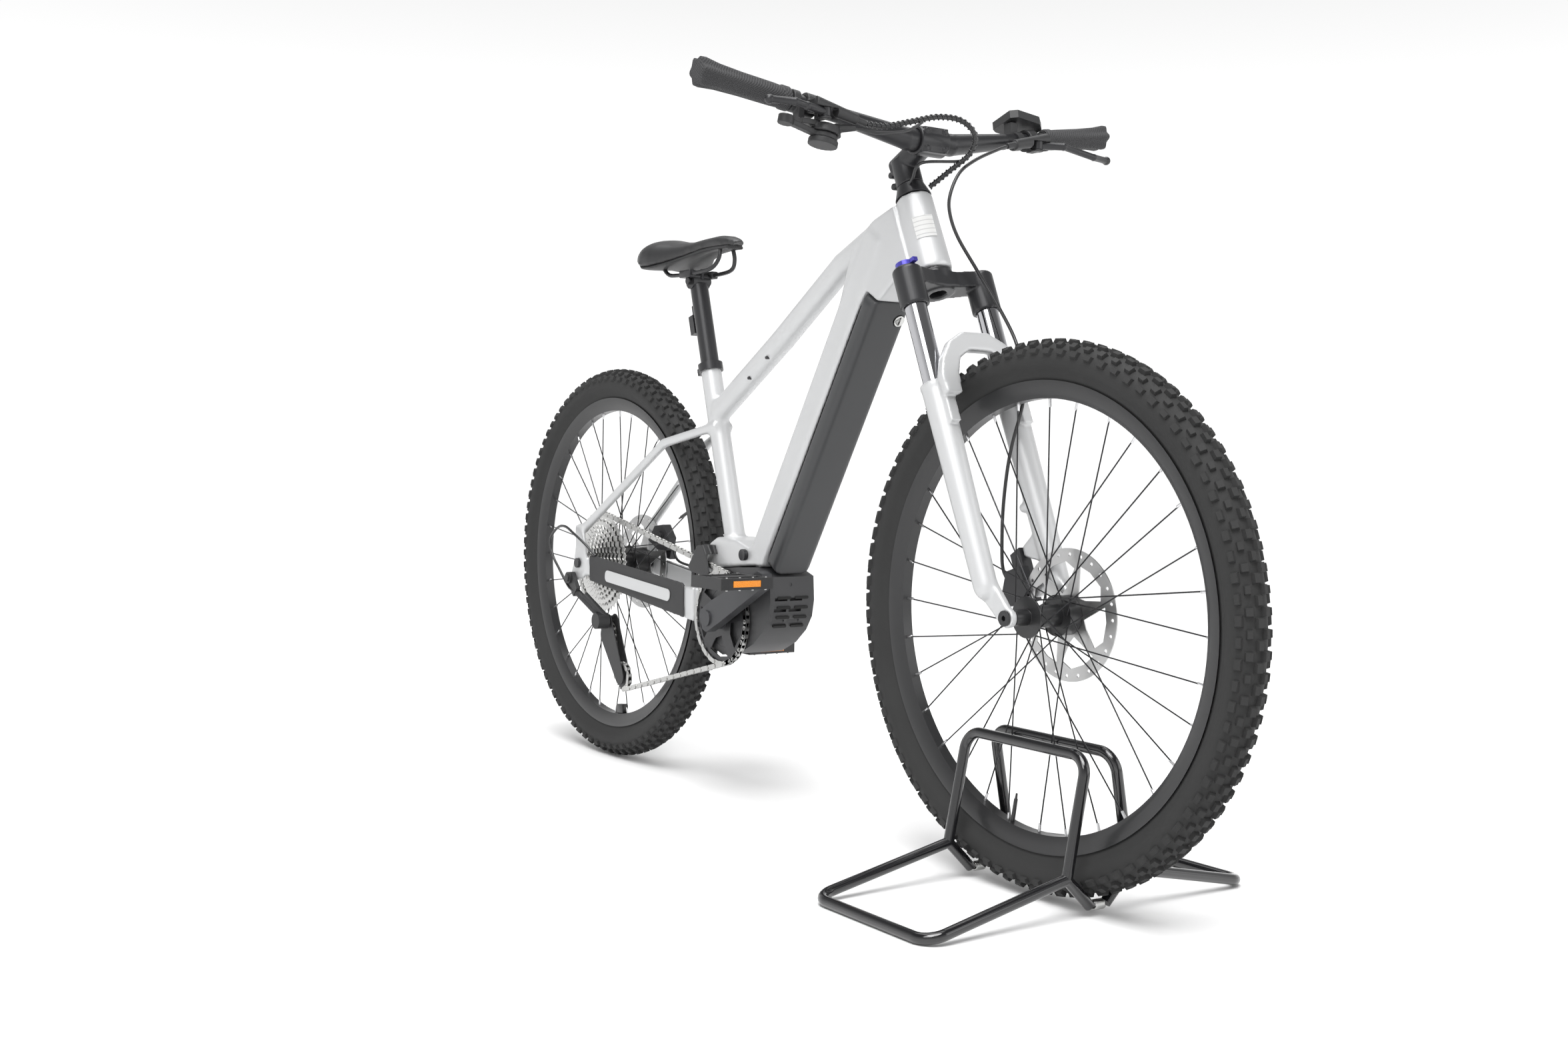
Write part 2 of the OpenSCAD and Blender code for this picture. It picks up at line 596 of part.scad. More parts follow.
// Thumb paddle, turning on the shifter's neck.
module shift_paddle() color([0.1, 0.1, 0.11]) on_shifter() difference() {
  union() {
    translate([0, 0, paddle_low]) cylinder(h = paddle_high - paddle_low, r = 19);
    rotate([0, 0, 275]) translate([14, -6, paddle_low]) cube([56, 12, paddle_high - paddle_low]);
    rotate([0, 0, 275]) translate([70, 0, paddle_low - 2]) cylinder(h = 12, r = 11);
  }
  translate([0, 0, paddle_low - 1]) cylinder(h = 10, r = 8 + run_gap);
}

// Display with its keys, on a short bracket on the left of the bar.
module remote() color([0.10, 0.10, 0.11]) difference() {
  union() {
    rod(bar_at(1, 172), bar_at(1, 184), 14);
    translate([299, 200, 1083]) rotate([-8, -18, 0]) translate([-26, -34, 0])
      linear_extrude(13) polygon([[4, 0], [44, 0], [52, 10], [52, 52], [40, 66], [10, 66], [0, 54],
        [0, 8]]);
    translate([296, 171, 1066]) cube([16, 13, 22]);
  }
  rod(bar_at(1, 160), bar_at(1, 200), bar_end_r);
}

// Front brake hose from the left lever down past the crown to the caliper.
module front_hose() color([0.05, 0.05, 0.06])
  cord([[350, 131, 1042], [352, 105, 1032], [360, 60, 1012], [369, 24, 989], [375, 3, 957],
    [375, 2, 931], [378, 15, 897], [392, 40, 851], [421, 57, 798], [449, 66, 748], [479, 54, 700],
    [494, 42, 661], [473, 39, 589], [455, 45, 516], [451, 48, 450], [453, 50, 424],
    [464.5, 51, 408]], 2.5, 3);

// Wrapped cables from the right controls, over the stem and down into the bearing cover.
module bar_cables() color([0.06, 0.06, 0.07]) {
  cord([[350, -131, 1042], [354, -100, 1042], [362, -60, 1052], [372, -20, 1062], [380, 16, 1060],
    [384, 38, 1042], [372, 40, 1018], [340, 24, 992], [317, 12, 974]], 4);
  cord([[349.5, -149, 1034], [360, -115, 1030], [366, -70, 1038], [367, -44, 1053]], 2.4);
  cord([[352, 62, 1030], [356, 40, 1010], [330, -14, 1004], [312, -16, 984], [303, -14, 976]], 2);
}

// Suspension lockout lever on top of the right leg.
module lockout_lever() color([0.2, 0.2, 0.55]) on_steer() translate([crown_offset, -leg_y, 505.3]) {
  cylinder(h = 7, r = 14);
  translate([0, -4, 0]) cube([24, 8, 6]);
}

// ---- fork lowers ----

// Silver lower legs with the arch and dropouts.
// Arch outline on the left, from the middle of its underside out and back over the top.
arch_pts = [[19, 365], [38, 353], [47, 330], [50, 300], [78, 300], [80, 328], [71, 352], [52, 378],
  [24, 394]];
module fork_lowers() color([0.80, 0.81, 0.82]) on_steer() difference() {
  union() {
    for (s = [-1, 1]) {
      translate([crown_offset, s * leg_y, 30]) cylinder(h = 290, r1 = 16.5, r2 = 20.5);
      translate([crown_offset, s * leg_y, 320]) cylinder(h = 8, r = 21.5);
      translate([crown_offset, s * leg_y, 30]) sphere(15.6);
      plate_y(s > 0 ? front_face + 0.3 : -68, s > 0 ? 68 : -front_face - 0.3)
        polygon([[8, 20], [34, 40], [50, -6], [52, -26], [36, -30], [28, -20]]);
      pin_y(fork_rake, axle_drop, s > 0 ? front_face + 0.3 : -68, s > 0 ? 68 : -front_face - 0.3, 13);
    }
    // Arch that ties the legs together over the tyre, ahead of the crown's path.
    for (s = [-1, 1]) translate([crown_offset + 8, s * leg_y - 9, 262])
      cube([arch_x - crown_offset - 4, 18, 48]);
    translate([arch_x, 0, 0]) rotate([90, 0, 90]) linear_extrude(arch_thick)
      polygon(concat([for (k = [8 : -1 : 0]) [-arch_pts[k][0], arch_pts[k][1]]], arch_pts));
    // Brake mount tabs and mudguard boss on the left leg.
    plate_y(52, 64) polygon([[8, 70], [-18.5, 86], [-18.5, 100], [8, 110]]);
    plate_y(52, 64) polygon([[13, 26], [-18.5, 25], [-18.5, 36], [13, 44]]);
    translate([crown_offset - 20, leg_y - 12, 150]) rotate([90, 0, 90]) cylinder(h = 14, r = 7);
  }
  for (s = [-1, 1]) translate([crown_offset, s * leg_y, 60]) cylinder(h = 300, r = inner_leg_r + run_gap);
  pin_y(fork_rake, axle_drop, -80, 80, front_axle_r);
}

// Bolt-through front axle.
module front_axle() color([0.2, 0.2, 0.21]) on_steer() difference() {
  union() {
    pin_y(fork_rake, axle_drop, -68, 68, front_axle_r);
    pin_y(fork_rake, axle_drop, -71, -68, 10.5);
  }
  translate([fork_rake, -73, axle_drop]) rotate([-90, 0, 0]) cylinder(h = 8, r = 4, $fn = 6);
}

// Front brake caliper behind the left leg.
module front_caliper() color([0.07, 0.07, 0.08]) on_steer() difference() {
  union() {
    plate_y(38, 56) polygon([[-58, 26], [-62, 52], [-46, 74], [-18, 72], [-14, 36], [-34, 22]]);
    plate_y(47.8, 66) polygon([[-40, 23], [-19, 23], [-19, 100], [-40, 96]]);
  }
  pin_y(fork_rake, axle_drop, 44.3, 47.7, disc_r + 3);
}

// ---- wheels ----

// Knobbly tyre, drawn to the tips of its tread.
tyre_pts = [[rim_r - 10, -10], [rim_r + 1, -12], [rim_r + 6, -22], [rim_r + 17, -27],
  [rim_r + 31, -tyre_half_w], [rim_r + 44, -25], [rim_r + 52, -16], [tyre_r, -8], [tyre_r, 8],
  [rim_r + 52, 16], [rim_r + 44, 25], [rim_r + 31, tyre_half_w], [rim_r + 17, 27], [rim_r + 6, 22],
  [rim_r + 1, 12], [rim_r - 10, 10]];
module tyre(x, z) color([0.09, 0.09, 0.09]) translate([x, 0, z]) rotate([90, 0, 0])
  rotate_extrude($fn = 96) polygon(tyre_pts);
module front_tyre() tyre(front_x, front_z);
module rear_tyre() tyre(rear_x, rear_z);

// Hollow-section alloy rim.
module rim(x, z) color([0.06, 0.06, 0.07]) translate([x, 0, z]) rotate([90, 0, 0])
  rotate_extrude($fn = 96) polygon([[rim_r - 23, -8], [rim_r - 23, 8], [rim_r - 12, 14.5],
    [rim_r + 1, 15.5], [rim_r, 12.3], [rim_r - 10.3, 11.5], [rim_r - 10.3, -11.5], [rim_r, -12.3],
    [rim_r + 1, -15.5], [rim_r - 12, -14.5]]);
module front_rim() rim(front_x, front_z);
module rear_rim() rim(rear_x, rear_z);

// Crossed spokes from the hub flanges to the rim.
module spokes(x, z, fl, fr, r_hub) color([0.1, 0.1, 0.11])
  for (i = [0 : spoke_count - 1]) {
    side = i % 2 == 0 ? 1 : -1;
    lean = floor(i / 2) % 2 == 0 ? 62 : -62;
    a = 360 * i / spoke_count;
    h = a + lean;
    in = lean > 0 ? 0 : 4.4;
    rod([x + r_hub * cos(h), side > 0 ? fl - in : -fr + in, z + r_hub * sin(h)],
      [x + (rim_r - 22) * cos(a), side * 2.5, z + (rim_r - 22) * sin(a)], 1, $fn = 8);
  }
module front_spokes() spokes(front_x, front_z, 24, 29, 24);
module rear_spokes() spokes(rear_x, rear_z, 27, 20, 27);

// Front hub with its six-bolt disc flange.
module front_hub() color([0.05, 0.05, 0.06]) difference() {
  union() {
    pin_y(front_x, front_z, -front_face, front_face, 11);
    pin_y(front_x, front_z, -31, -28, 28);
    pin_y(front_x, front_z, 23, 26, 28);
    pin_y(front_x, front_z, -31, 26, 15);
    pin_y(front_x, front_z, 26, 44.9, 27);
  }
  pin_y(front_x, front_z, -70, 70, front_axle_r + run_gap);
}

// Rear hub with the disc flange on its left.
module rear_hub() color([0.05, 0.05, 0.06]) difference() {
  union() {
    pin_y(rear_x, rear_z, -27.6, rear_face, 12);
    pin_y(rear_x, rear_z, -22, -19, 31);
    pin_y(rear_x, rear_z, 26, 29, 31);
    pin_y(rear_x, rear_z, -22, 29, 17);
    pin_y(rear_x, rear_z, 29, 55.9, 27);
  }
  pin_y(rear_x, rear_z, -90, 90, rear_axle_r + run_gap);
}

// Drilled brake disc with curved arms.
module disc(x, z, y) color([0.6, 0.6, 0.61]) translate([x, y, z]) rotate([-90, 0, 0])
  difference() {
    cylinder(h = 1.8, r = disc_r);
    translate([0, 0, -1]) cylinder(h = 4, r = 12);
    for (k = [0 : 5]) rotate([0, 0, k * 60]) {
      translate([0, 0, -1]) linear_extrude(4)
        polygon([[30, 4], [68, -16], [71, 4], [66, 30], [50, 40], [34, 16]]);
      translate([22, 0, -1]) cylinder(h = 4, r = 2.5);
    }
    for (k = [0 : 23]) rotate([0, 0, k * 15]) translate([82, 0, -1]) cylinder(h = 4, r = 2.5, $fn = 24);
  }
module front_disc() disc(front_x, front_z, 45.1);
module rear_disc() disc(rear_x, rear_z, 56.1);

// ---- drive ----

// Sprocket stack on its freehub body.
cog_teeth = [46, 40, 34, 30, 26, 23, 20, 17, 15, 13, 11];
module cog(n, y, w) {
  pr = chain_pitch / 2 / sin(180 / n);
  translate([rear_x, y + w / 2, rear_z]) rotate([90, 0, 0]) linear_extrude(w)
    polygon([for (k = [0 : n - 1], t = [0 : 3]) let (
      a = (k + [0.0, 0.32, 0.5, 0.68][t]) * 360 / n, r = pr + [-3.6, -1.6, 2.2, -1.6][t])
      [r * cos(a), r * sin(a)]]);
}
module cassette() color([0.25, 0.25, 0.26]) difference() {
  union() {
    pin_y(rear_x, rear_z, -rear_face, -28, 16);
    for (k = [0 : 10]) cog(cog_teeth[k], big_y - k * 3.5, 1.8);
    pin_y(rear_x, rear_z, -68, -30, 19);
  }
  pin_y(rear_x, rear_z, -90, 90, rear_axle_r + run_gap);
}

// Chainring on a five-window spider.
module chainring() color([0.08, 0.08, 0.09]) difference() {
  translate([crank_x, ring_y + 1, crank_z]) rotate([90, 0, 0]) linear_extrude(2)
    polygon([for (k = [0 : ring_teeth - 1], t = [0 : 3]) let (
      a = (k + [0.0, 0.32, 0.5, 0.68][t]) * 360 / ring_teeth,
      r = ring_pr + [-3.6, -1.6, 2.2, -1.6][t]) [r * cos(a), r * sin(a)]]);
  pin_y(crank_x, crank_z, -60, -40, 20);
  for (k = [0 : 4]) translate([crank_x, -60, crank_z]) rotate([-90, 0, 0])
    rotate([0, 0, k * 72 + 20]) linear_extrude(20)
      polygon([[30, -4], [62, -24], [66, 0], [56, 30], [36, 14]]);
}

// Angular crank arm; the right one carries the spindle.
module arm(s) {
  a = s < 0 ? crank_rise : crank_rise + 180;
  translate([crank_x, 0, crank_z]) rotate([0, -a, 0]) {
    difference() {
      plate_y(s > 0 ? arm_y - 9 : -arm_y - 9, s > 0 ? arm_y + 9 : -arm_y + 9)
        polygon([[-20, -12], [-12, -20], [30, -20], [crank_len + 4, -14], [crank_len + 14, -4],
          [crank_len + 14, 6], [crank_len + 4, 15], [30, 22], [-12, 20], [-20, 12]]);
      pin_y(crank_len, 0, s > 0 ? 50 : -90, s > 0 ? 90 : -50, pedal_pin_r + run_gap);
    }
    pin_y(0, 0, s > 0 ? arm_y + 9 : -arm_y - 12, s > 0 ? arm_y + 12 : -arm_y - 9, 13);
  }
}
module crank_right() color([0.16, 0.16, 0.17]) {
  arm(-1);
  pin_y(crank_x, crank_z, -arm_y + 9, arm_y - 9, spindle_r);
  pin_y(crank_x, crank_z, -arm_y + 9, -51, 19);
  pin_y(crank_x, crank_z, -51, -48, 20);
}
module crank_left() color([0.16, 0.16, 0.17]) arm(1);

// Flat cage pedal with amber reflectors, on its own pin.
module pedal(x, z, s) {
  y0 = s > 0 ? pedal_in : -pedal_out;
  w = pedal_out - pedal_in;
  pin_y(x, z, s > 0 ? arm_y - 9 : -pedal_out + 6, s > 0 ? pedal_out - 6 : -arm_y + 9, pedal_pin_r);
  pin_y(x, z, y0 + 8, y0 + w - 8, 10);
  difference() {
    translate([x - 44, y0, z - 9]) cube([88, w, 18]);
    for (k = [-1, 1]) translate([x + (k > 0 ? 14 : -36), y0 + 10, z - 10]) cube([22, w - 20, 20]);
    for (k = [-1, 1]) translate([x + k * 43 - 2, y0 + 22, z - 5]) cube([4, w - 44, 10]);
  }
}
module pedal_right() color([0.08, 0.08, 0.09]) pedal(pedal_x, pedal_z, -1);
module pedal_left() color([0.08, 0.08, 0.09]) pedal(pedal_lx, pedal_lz, 1);

// Long gear mechanism cage with its pulley pins.
module mech_cage() color([0.1, 0.1, 0.11]) {
  for (y = [big_y - 8, big_y + 6]) translate([0, y + 2, 0]) rotate([90, 0, 0]) linear_extrude(2)
    hull() {
      translate([guide_x, guide_z]) circle(15);
      translate([tension_x, tension_z]) circle(15);
      translate([mech_x, mech_z]) circle(12);
    }
  pin_y(mech_x, mech_z, -42, big_y - 6, 9);
  for (c = [guide_c, tens_c]) pin_y(c[0], c[1], big_y - 8, big_y + 8, 4);
  // Tie between the plates, clear of both pulleys.
  pin_y(mech_x - 2, mech_z + 6, big_y - 7, big_y + 7, 3);
}

// Toothed pulley wheel.
module pulley(c) difference() {
  translate([c[0], c[2] + 1.2, c[1]]) rotate([90, 0, 0]) linear_extrude(2.4)
    polygon([for (k = [0 : pulley_teeth - 1], t = [0 : 3]) let (
      a = (k + [0.0, 0.32, 0.5, 0.68][t]) * 360 / pulley_teeth,
      r = pulley_pr + [-3.6, -1.6, 1.8, -1.6][t]) [r * cos(a), r * sin(a)]]);
  pin_y(c[0], c[1], c[2] - 10, c[2] + 10, 4 + run_gap);
}
module guide_pulley() color([0.1, 0.1, 0.1]) pulley(guide_c);
module tension_pulley() color([0.1, 0.1, 0.1]) pulley(tens_c);

// ---- stand ----

// One bent tube half: foot loop on the floor, upright hoop and two inner legs.
module u_loop(w, l, rb) {
  for (s = [-1, 1]) {
    translate([s * w / 2, 0, 0]) rotate([90, 0, 0]) cylinder(h = l - rb, r = stand_r);
    translate([s * (w / 2 - rb), -l + rb, 0]) rotate([0, 0, s > 0 ? -90 : 180])
      rotate_extrude(angle = 90) translate([rb, 0]) circle(stand_r, $fn = 32);
  }
  translate([-w / 2 + rb, -l, 0]) rotate([0, 90, 0]) cylinder(h = w - 2 * rb, r = stand_r);
}
module stand_half(s) mirror([0, s > 0 ? 1 : 0, 0]) {
  foot_l = norm([foot_y - elbow_y, elbow_z - stand_r]);
  hoop_l = norm([elbow_y - hoop_y, hoop_z - elbow_z]);
  translate([stand_x, -elbow_y, elbow_z]) {
    rotate([atan2(elbow_z - stand_r, foot_y - elbow_y), 0, 0]) u_loop(stand_len, foot_l, 26);
    rotate([-90 - atan2(elbow_y - hoop_y, hoop_z - elbow_z), 0, 0]) u_loop(stand_len, hoop_l, 26);
    for (x = [-stand_len / 2, stand_len / 2]) {
      translate([x, 0, 0]) sphere(stand_r + weld_bead);
      rod([x, 0, 0], [x, elbow_y - inner_y - 0.4, spring_z - elbow_z], stand_r);
    }
  }
}
module stand_right() color([0.03, 0.03, 0.03]) stand_half(-1);
module stand_left() color([0.03, 0.03, 0.03]) stand_half(1);

// Coil springs that link the two halves under the tyre.
module stand_springs() color([0.1, 0.1, 0.1]) for (x = [-stand_len / 2, stand_len / 2])
  pin_y(stand_x + x, spring_z, -8.9, 8.9, stand_r);

main_frame();
frame_fittings();
seat_collar();
motor_unit();
motor_cover();
chain_guide();
stay_guard();
rear_caliper();
gear_mech();
rear_lines();
chain();
battery();
lock_barrel();
seatpost();
saddle_pad();
saddle_base();
saddle_rails();
fork_crown();
stanchions();
stem();
handlebar();
bearing_cover();
grip_right();
grip_left();
master_right();
master_left();
shifter();
remote();
front_hose();
bar_cables();
lever_right();
lever_left();
shift_paddle();
lockout_lever();
fork_lowers();
front_axle();
front_caliper();
front_tyre();
front_rim();
front_spokes();
front_hub();
front_disc();
stand_right();
stand_left();
stand_springs();
rear_tyre();
rear_rim();
rear_spokes();
rear_hub();
rear_disc();
cassette();
crank_right();
chainring();
crank_left();
pedal_right();
pedal_left();
mech_cage();
guide_pulley();
tension_pulley();
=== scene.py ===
"""Battery-assisted mountain bicycle whose front wheel is held in a folding floor stand.

Metres, +X forward, +Y to the rider's left, +Z up, the floor at Z = 0.
"""

import json
import math

import bmesh
import bpy
from mathutils import Matrix, Vector


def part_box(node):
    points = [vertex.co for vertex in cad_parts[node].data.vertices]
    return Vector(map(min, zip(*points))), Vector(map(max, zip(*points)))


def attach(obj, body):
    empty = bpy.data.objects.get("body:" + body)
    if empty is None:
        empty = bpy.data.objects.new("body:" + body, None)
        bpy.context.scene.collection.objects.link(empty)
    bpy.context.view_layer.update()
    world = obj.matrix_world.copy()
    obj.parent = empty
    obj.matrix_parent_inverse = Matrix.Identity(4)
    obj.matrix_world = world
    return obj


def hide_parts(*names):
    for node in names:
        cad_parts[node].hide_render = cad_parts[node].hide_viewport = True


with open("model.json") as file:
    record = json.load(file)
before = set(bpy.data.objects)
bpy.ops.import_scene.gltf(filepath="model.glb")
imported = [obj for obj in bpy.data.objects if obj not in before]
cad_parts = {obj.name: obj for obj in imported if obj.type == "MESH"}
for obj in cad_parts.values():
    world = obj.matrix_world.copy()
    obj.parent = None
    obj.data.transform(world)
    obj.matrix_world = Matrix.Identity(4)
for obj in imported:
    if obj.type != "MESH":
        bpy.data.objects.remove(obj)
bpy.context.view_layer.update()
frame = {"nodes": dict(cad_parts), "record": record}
scene = bpy.context.scene

# ---- view and room ----
# Eye height just above the wheels' axles, ahead of the bicycle on its right side.
azimuth, elevation, roll = (math.radians(a) for a in (55.61, 2.52, 1.01))
back = Vector((math.sin(azimuth) * math.cos(elevation), -math.cos(azimuth) * math.cos(elevation),
               math.sin(elevation)))
level = Vector((math.cos(azimuth), math.sin(azimuth), 0))
rise = back.cross(level)
right = level * math.cos(roll) + rise * math.sin(roll)
up = rise * math.cos(roll) - level * math.sin(roll)
camera = bpy.data.objects.new("camera", bpy.data.cameras.new("camera"))
camera.data.lens = 38.08
camera.data.sensor_width = 36
camera.matrix_world = (Matrix.Translation((2.2054, -1.5264, 0.5894))
                       @ Matrix((right, up, back)).transposed().to_4x4())
scene.collection.objects.link(camera)
scene.camera = camera


class Value:
    """A shader socket that takes part in ordinary arithmetic."""

    def __init__(self, tree, socket):
        self.tree, self.socket = tree, socket

    def maths(self, operation, *others, swapped=False):
        node = self.tree.nodes.new("ShaderNodeMath")
        node.operation = operation
        for slot, value in zip(node.inputs, (*others, self) if swapped else (self, *others)):
            if isinstance(value, Value):
                self.tree.links.new(value.socket, slot)
            else:
                slot.default_value = value
        return Value(self.tree, node.outputs[0])

    def __add__(self, other):
        return self.maths("ADD", other)

    def __sub__(self, other):
        return self.maths("SUBTRACT", other)

    def __rsub__(self, other):
        return self.maths("SUBTRACT", other, swapped=True)

    def __mul__(self, other):
        return self.maths("MULTIPLY", other)

    def __pow__(self, other):
        return self.maths("POWER", other)

    __radd__, __rmul__ = __add__, __mul__

    def sine(self):
        return self.maths("SINE")

    def between(self, low, high):
        return self.maths("MAXIMUM", low).maths("MINIMUM", high)


class Finish:
    """One procedural material in object coordinates, with soft variation of tone and gloss."""

    def __init__(self, name, colour, roughness, metallic=0.0, coat=0.0, vary=0.08):
        self.material = bpy.data.materials.new(name)
        self.material.use_nodes = True
        self.tree = self.material.node_tree
        self.shader = self.tree.nodes["Principled BSDF"]
        self.shader.inputs["Metallic"].default_value = metallic
        self.shader.inputs["Coat Weight"].default_value = coat
        self.shader.inputs["Coat Roughness"].default_value = 0.12
        self.place = Value(self.tree, self.node("ShaderNodeTexCoord").outputs["Object"])
        cloud = self.noise(9)
        self.rough(cloud * (2 * vary) + (roughness - vary))
        self.tone(colour, tuple(c * (1 - 2 * vary) for c in colour), cloud)

    def node(self, kind, settings=None, sockets=None):
        """A shader node: its settings first, then the values or links of its sockets."""
        node = self.tree.nodes.new(kind)
        for setting, value in (settings or {}).items():
            setattr(node, setting, value)
        for slot, value in (sockets or {}).items():
            if isinstance(value, Value):
                self.tree.links.new(value.socket, node.inputs[slot])
            else:
                node.inputs[slot].default_value = value
        return node

    def noise(self, scale, detail=3):
        return Value(self.tree, self.node("ShaderNodeTexNoise", None, {
            "Vector": self.place, "Scale": scale, "Detail": detail}).outputs["Fac"])

    def axis(self, direction, origin=(0, 0, 0)):
        """Distance along a direction from a point, in metres."""
        dot = self.node("ShaderNodeVectorMath", {"operation": "DOT_PRODUCT"},
                        {0: self.place, 1: direction})
        return Value(self.tree, dot.outputs["Value"]) - Vector(direction).dot(Vector(origin))

    def radius(self, x, z):
        """Distance from the cross axis through x, z."""
        return (self.axis((1, 0, 0), (x, 0, 0)) ** 2 + self.axis((0, 0, 1), (0, 0, z)) ** 2) ** 0.5

    def rough(self, value):
        self.tree.links.new(value.between(0.02, 1).socket, self.shader.inputs["Roughness"])
        return self

    def tone(self, first, second, value):
        # The colour pair of a Mix node follows its number and vector pairs.
        mix = self.node("ShaderNodeMix", {"data_type": "RGBA"},
                        {0: value.between(0, 1), 6: (*first, 1), 7: (*second, 1)})
        self.tree.links.new(mix.outputs[2], self.shader.inputs["Base Color"])
        return self

    def bump(self, value, distance, strength=0.5):
        node = self.node("ShaderNodeBump", None,
                         {"Distance": distance, "Strength": strength, "Height": value})
        self.tree.links.new(node.outputs["Normal"], self.shader.inputs["Normal"])
        return self


# Pale studio floor.
floor_finish = Finish("floor", (0.88, 0.88, 0.88), 0.55, vary=0.01)
room = bmesh.new()
bmesh.ops.create_grid(room, x_segments=2, y_segments=2, size=60)
floor_mesh = bpy.data.meshes.new("floor")
room.to_mesh(floor_mesh)
room.free()
floor = bpy.data.objects.new("floor", floor_mesh)
floor_mesh.materials.append(floor_finish.material)
scene.collection.objects.link(floor)

# White round the horizon and darker overhead, so that tubes show a soft edge to their light.
world = bpy.data.worlds.new("room")
world.use_nodes = True
tree = world.node_tree
part = tree.nodes.new("ShaderNodeSeparateXYZ")
tree.links.new(tree.nodes.new("ShaderNodeTexCoord").outputs["Generated"], part.inputs[0])
overhead = (Value(tree, part.outputs["Z"]) * 2.2 - 0.35).between(0, 1)
tree.links.new((1.12 - overhead * 0.92).socket, tree.nodes["Background"].inputs["Strength"])
tree.nodes["Background"].inputs["Color"].default_value = (1, 1, 1, 1)
scene.world = world
scene.view_settings.view_transform = "Standard"


def lamp(name, place, aim, size, power):
    """Soft square light at a place, facing a point."""
    light = bpy.data.lights.new(name, "AREA")
    light.size = size
    light.energy = power
    obj = bpy.data.objects.new(name, light)
    obj.location = place
    obj.rotation_euler = (Vector(aim) - Vector(place)).to_track_quat("-Z", "Y").to_euler()
    scene.collection.objects.link(obj)


sun = bpy.data.lights.new("ceiling", "SUN")
sun.energy = 3.1
sun.angle = math.radians(40)
ceiling = bpy.data.objects.new("ceiling", sun)
ceiling.rotation_euler = (math.radians(14), math.radians(16), 0)
scene.collection.objects.link(ceiling)
lamp("key", (1.6, -2.4, 3.0), (0, 0, 0.5), 2.0, 55)
lamp("fill", (3.4, 2.2, 1.8), (0, 0, 0.6), 2.4, 24)
lamp("top", (-0.6, 0.4, 3.4), (0, 0, 0.5), 2.6, 40)

# ---- frame ----
# Silver alloy frame with smooth hydroformed tubes: the top tube runs into the head tube with no
# visible weld, and the seat and chain stays end in broad dropouts around the rear axle.
bodies = {node: body for body, members in frame["record"]["behaviour"]["bodies"].items()
          for node in members}


def centre(node):
    low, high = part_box(node)
    return (low + high) / 2


def place(name, mesh, finish, node, replaces=False):
    """Object in the row frame that moves with a CAD node's body, and hides the node when it replaces it."""
    obj = bpy.data.objects.new(name, mesh)
    scene.collection.objects.link(obj)
    mesh.materials.append(finish.material)
    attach(obj, bodies[node])
    if replaces:
        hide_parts(node)
    return obj


def from_bmesh(name, solid, finish, node, replaces=False, smooth=35):
    """Finished bmesh as an object, shaded smooth up to an angle in degrees."""
    bmesh.ops.recalc_face_normals(solid, faces=solid.faces)
    for face in solid.faces:
        face.smooth = True
    for edge in solid.edges:
        edge.smooth = edge.calc_face_angle(0) < math.radians(smooth)
    mesh = bpy.data.meshes.new(name)
    solid.to_mesh(mesh)
    solid.free()
    return place(name, mesh, finish, node, replaces)


def rod(solid, start, end, r1, r2=None, segments=20):
    """Closed round bar between two points, added to a bmesh."""
    start, end = Vector(start), Vector(end)
    turn = (end - start).to_track_quat("Z", "Y").to_matrix().to_4x4()
    return bmesh.ops.create_cone(solid, cap_ends=True, segments=segments, radius1=r1,
                                 radius2=r1 if r2 is None else r2, depth=(end - start).length,
                                 matrix=Matrix.Translation((start + end) / 2) @ turn)["verts"]


def skin(node, finish, bevel=0.0005, name=None, voxel=0, rounds=6, plugs=()):
    """Shown copy of a CAD node: edges broken by a bevel, or the whole blended smooth.

    Plugs are bars that fill hidden bores, so that thin walls survive the blending.
    """
    solid = bmesh.new()
    solid.from_mesh(frame["nodes"][node].data)
    bmesh.ops.remove_doubles(solid, verts=solid.verts, dist=1e-5)
    for start, end, radius in plugs:
        rod(solid, start, end, radius, segments=48)
    if not voxel:
        bmesh.ops.dissolve_limit(solid, angle_limit=math.radians(0.6), verts=solid.verts,
                                 edges=solid.edges)
    obj = from_bmesh(name or f"{node}_skin", solid, finish, node, True)
    for layer in list(obj.data.materials)[:-1]:
        obj.data.materials.pop(index=0)
    obj.data.polygons.foreach_set("material_index", [0] * len(obj.data.polygons))
    if voxel:
        remesh = obj.modifiers.new("remesh", "REMESH")
        remesh.mode = "VOXEL"
        remesh.voxel_size = voxel
        remesh.use_smooth_shade = True
        blend = obj.modifiers.new("blend", "SMOOTH")
        blend.iterations = rounds
        blend.factor = 0.5
    elif bevel:
        edge = obj.modifiers.new("bevel", "BEVEL")
        edge.width = bevel
        edge.segments = 2
        edge.limit_method = "ANGLE"
        edge.angle_limit = math.radians(32)
        edge.harden_normals = True
    return obj


silver = Finish("silver_paint", (0.54, 0.545, 0.55), 0.44, 0.45, 0.15, 0.03)
silver.bump(silver.noise(700, 2), 0.00001, 0.15)
crank = Vector((-0.132, 0, 0.307))
seat_line = Vector((-0.2874, 0, 0.9578))
skin("main_frame", silver, voxel=0.0024, rounds=24,
     plugs=[(crank + seat_line * 0.23, crank + seat_line * 0.437, 0.0163)])

black = Finish("black_anodised", (0.022, 0.022, 0.024), 0.38, 0.3, 0.1, 0.05)
black.bump(black.noise(1800), 0.00004, 0.4)
for node in ("frame_fittings", "seat_collar"):
    skin(node, black)


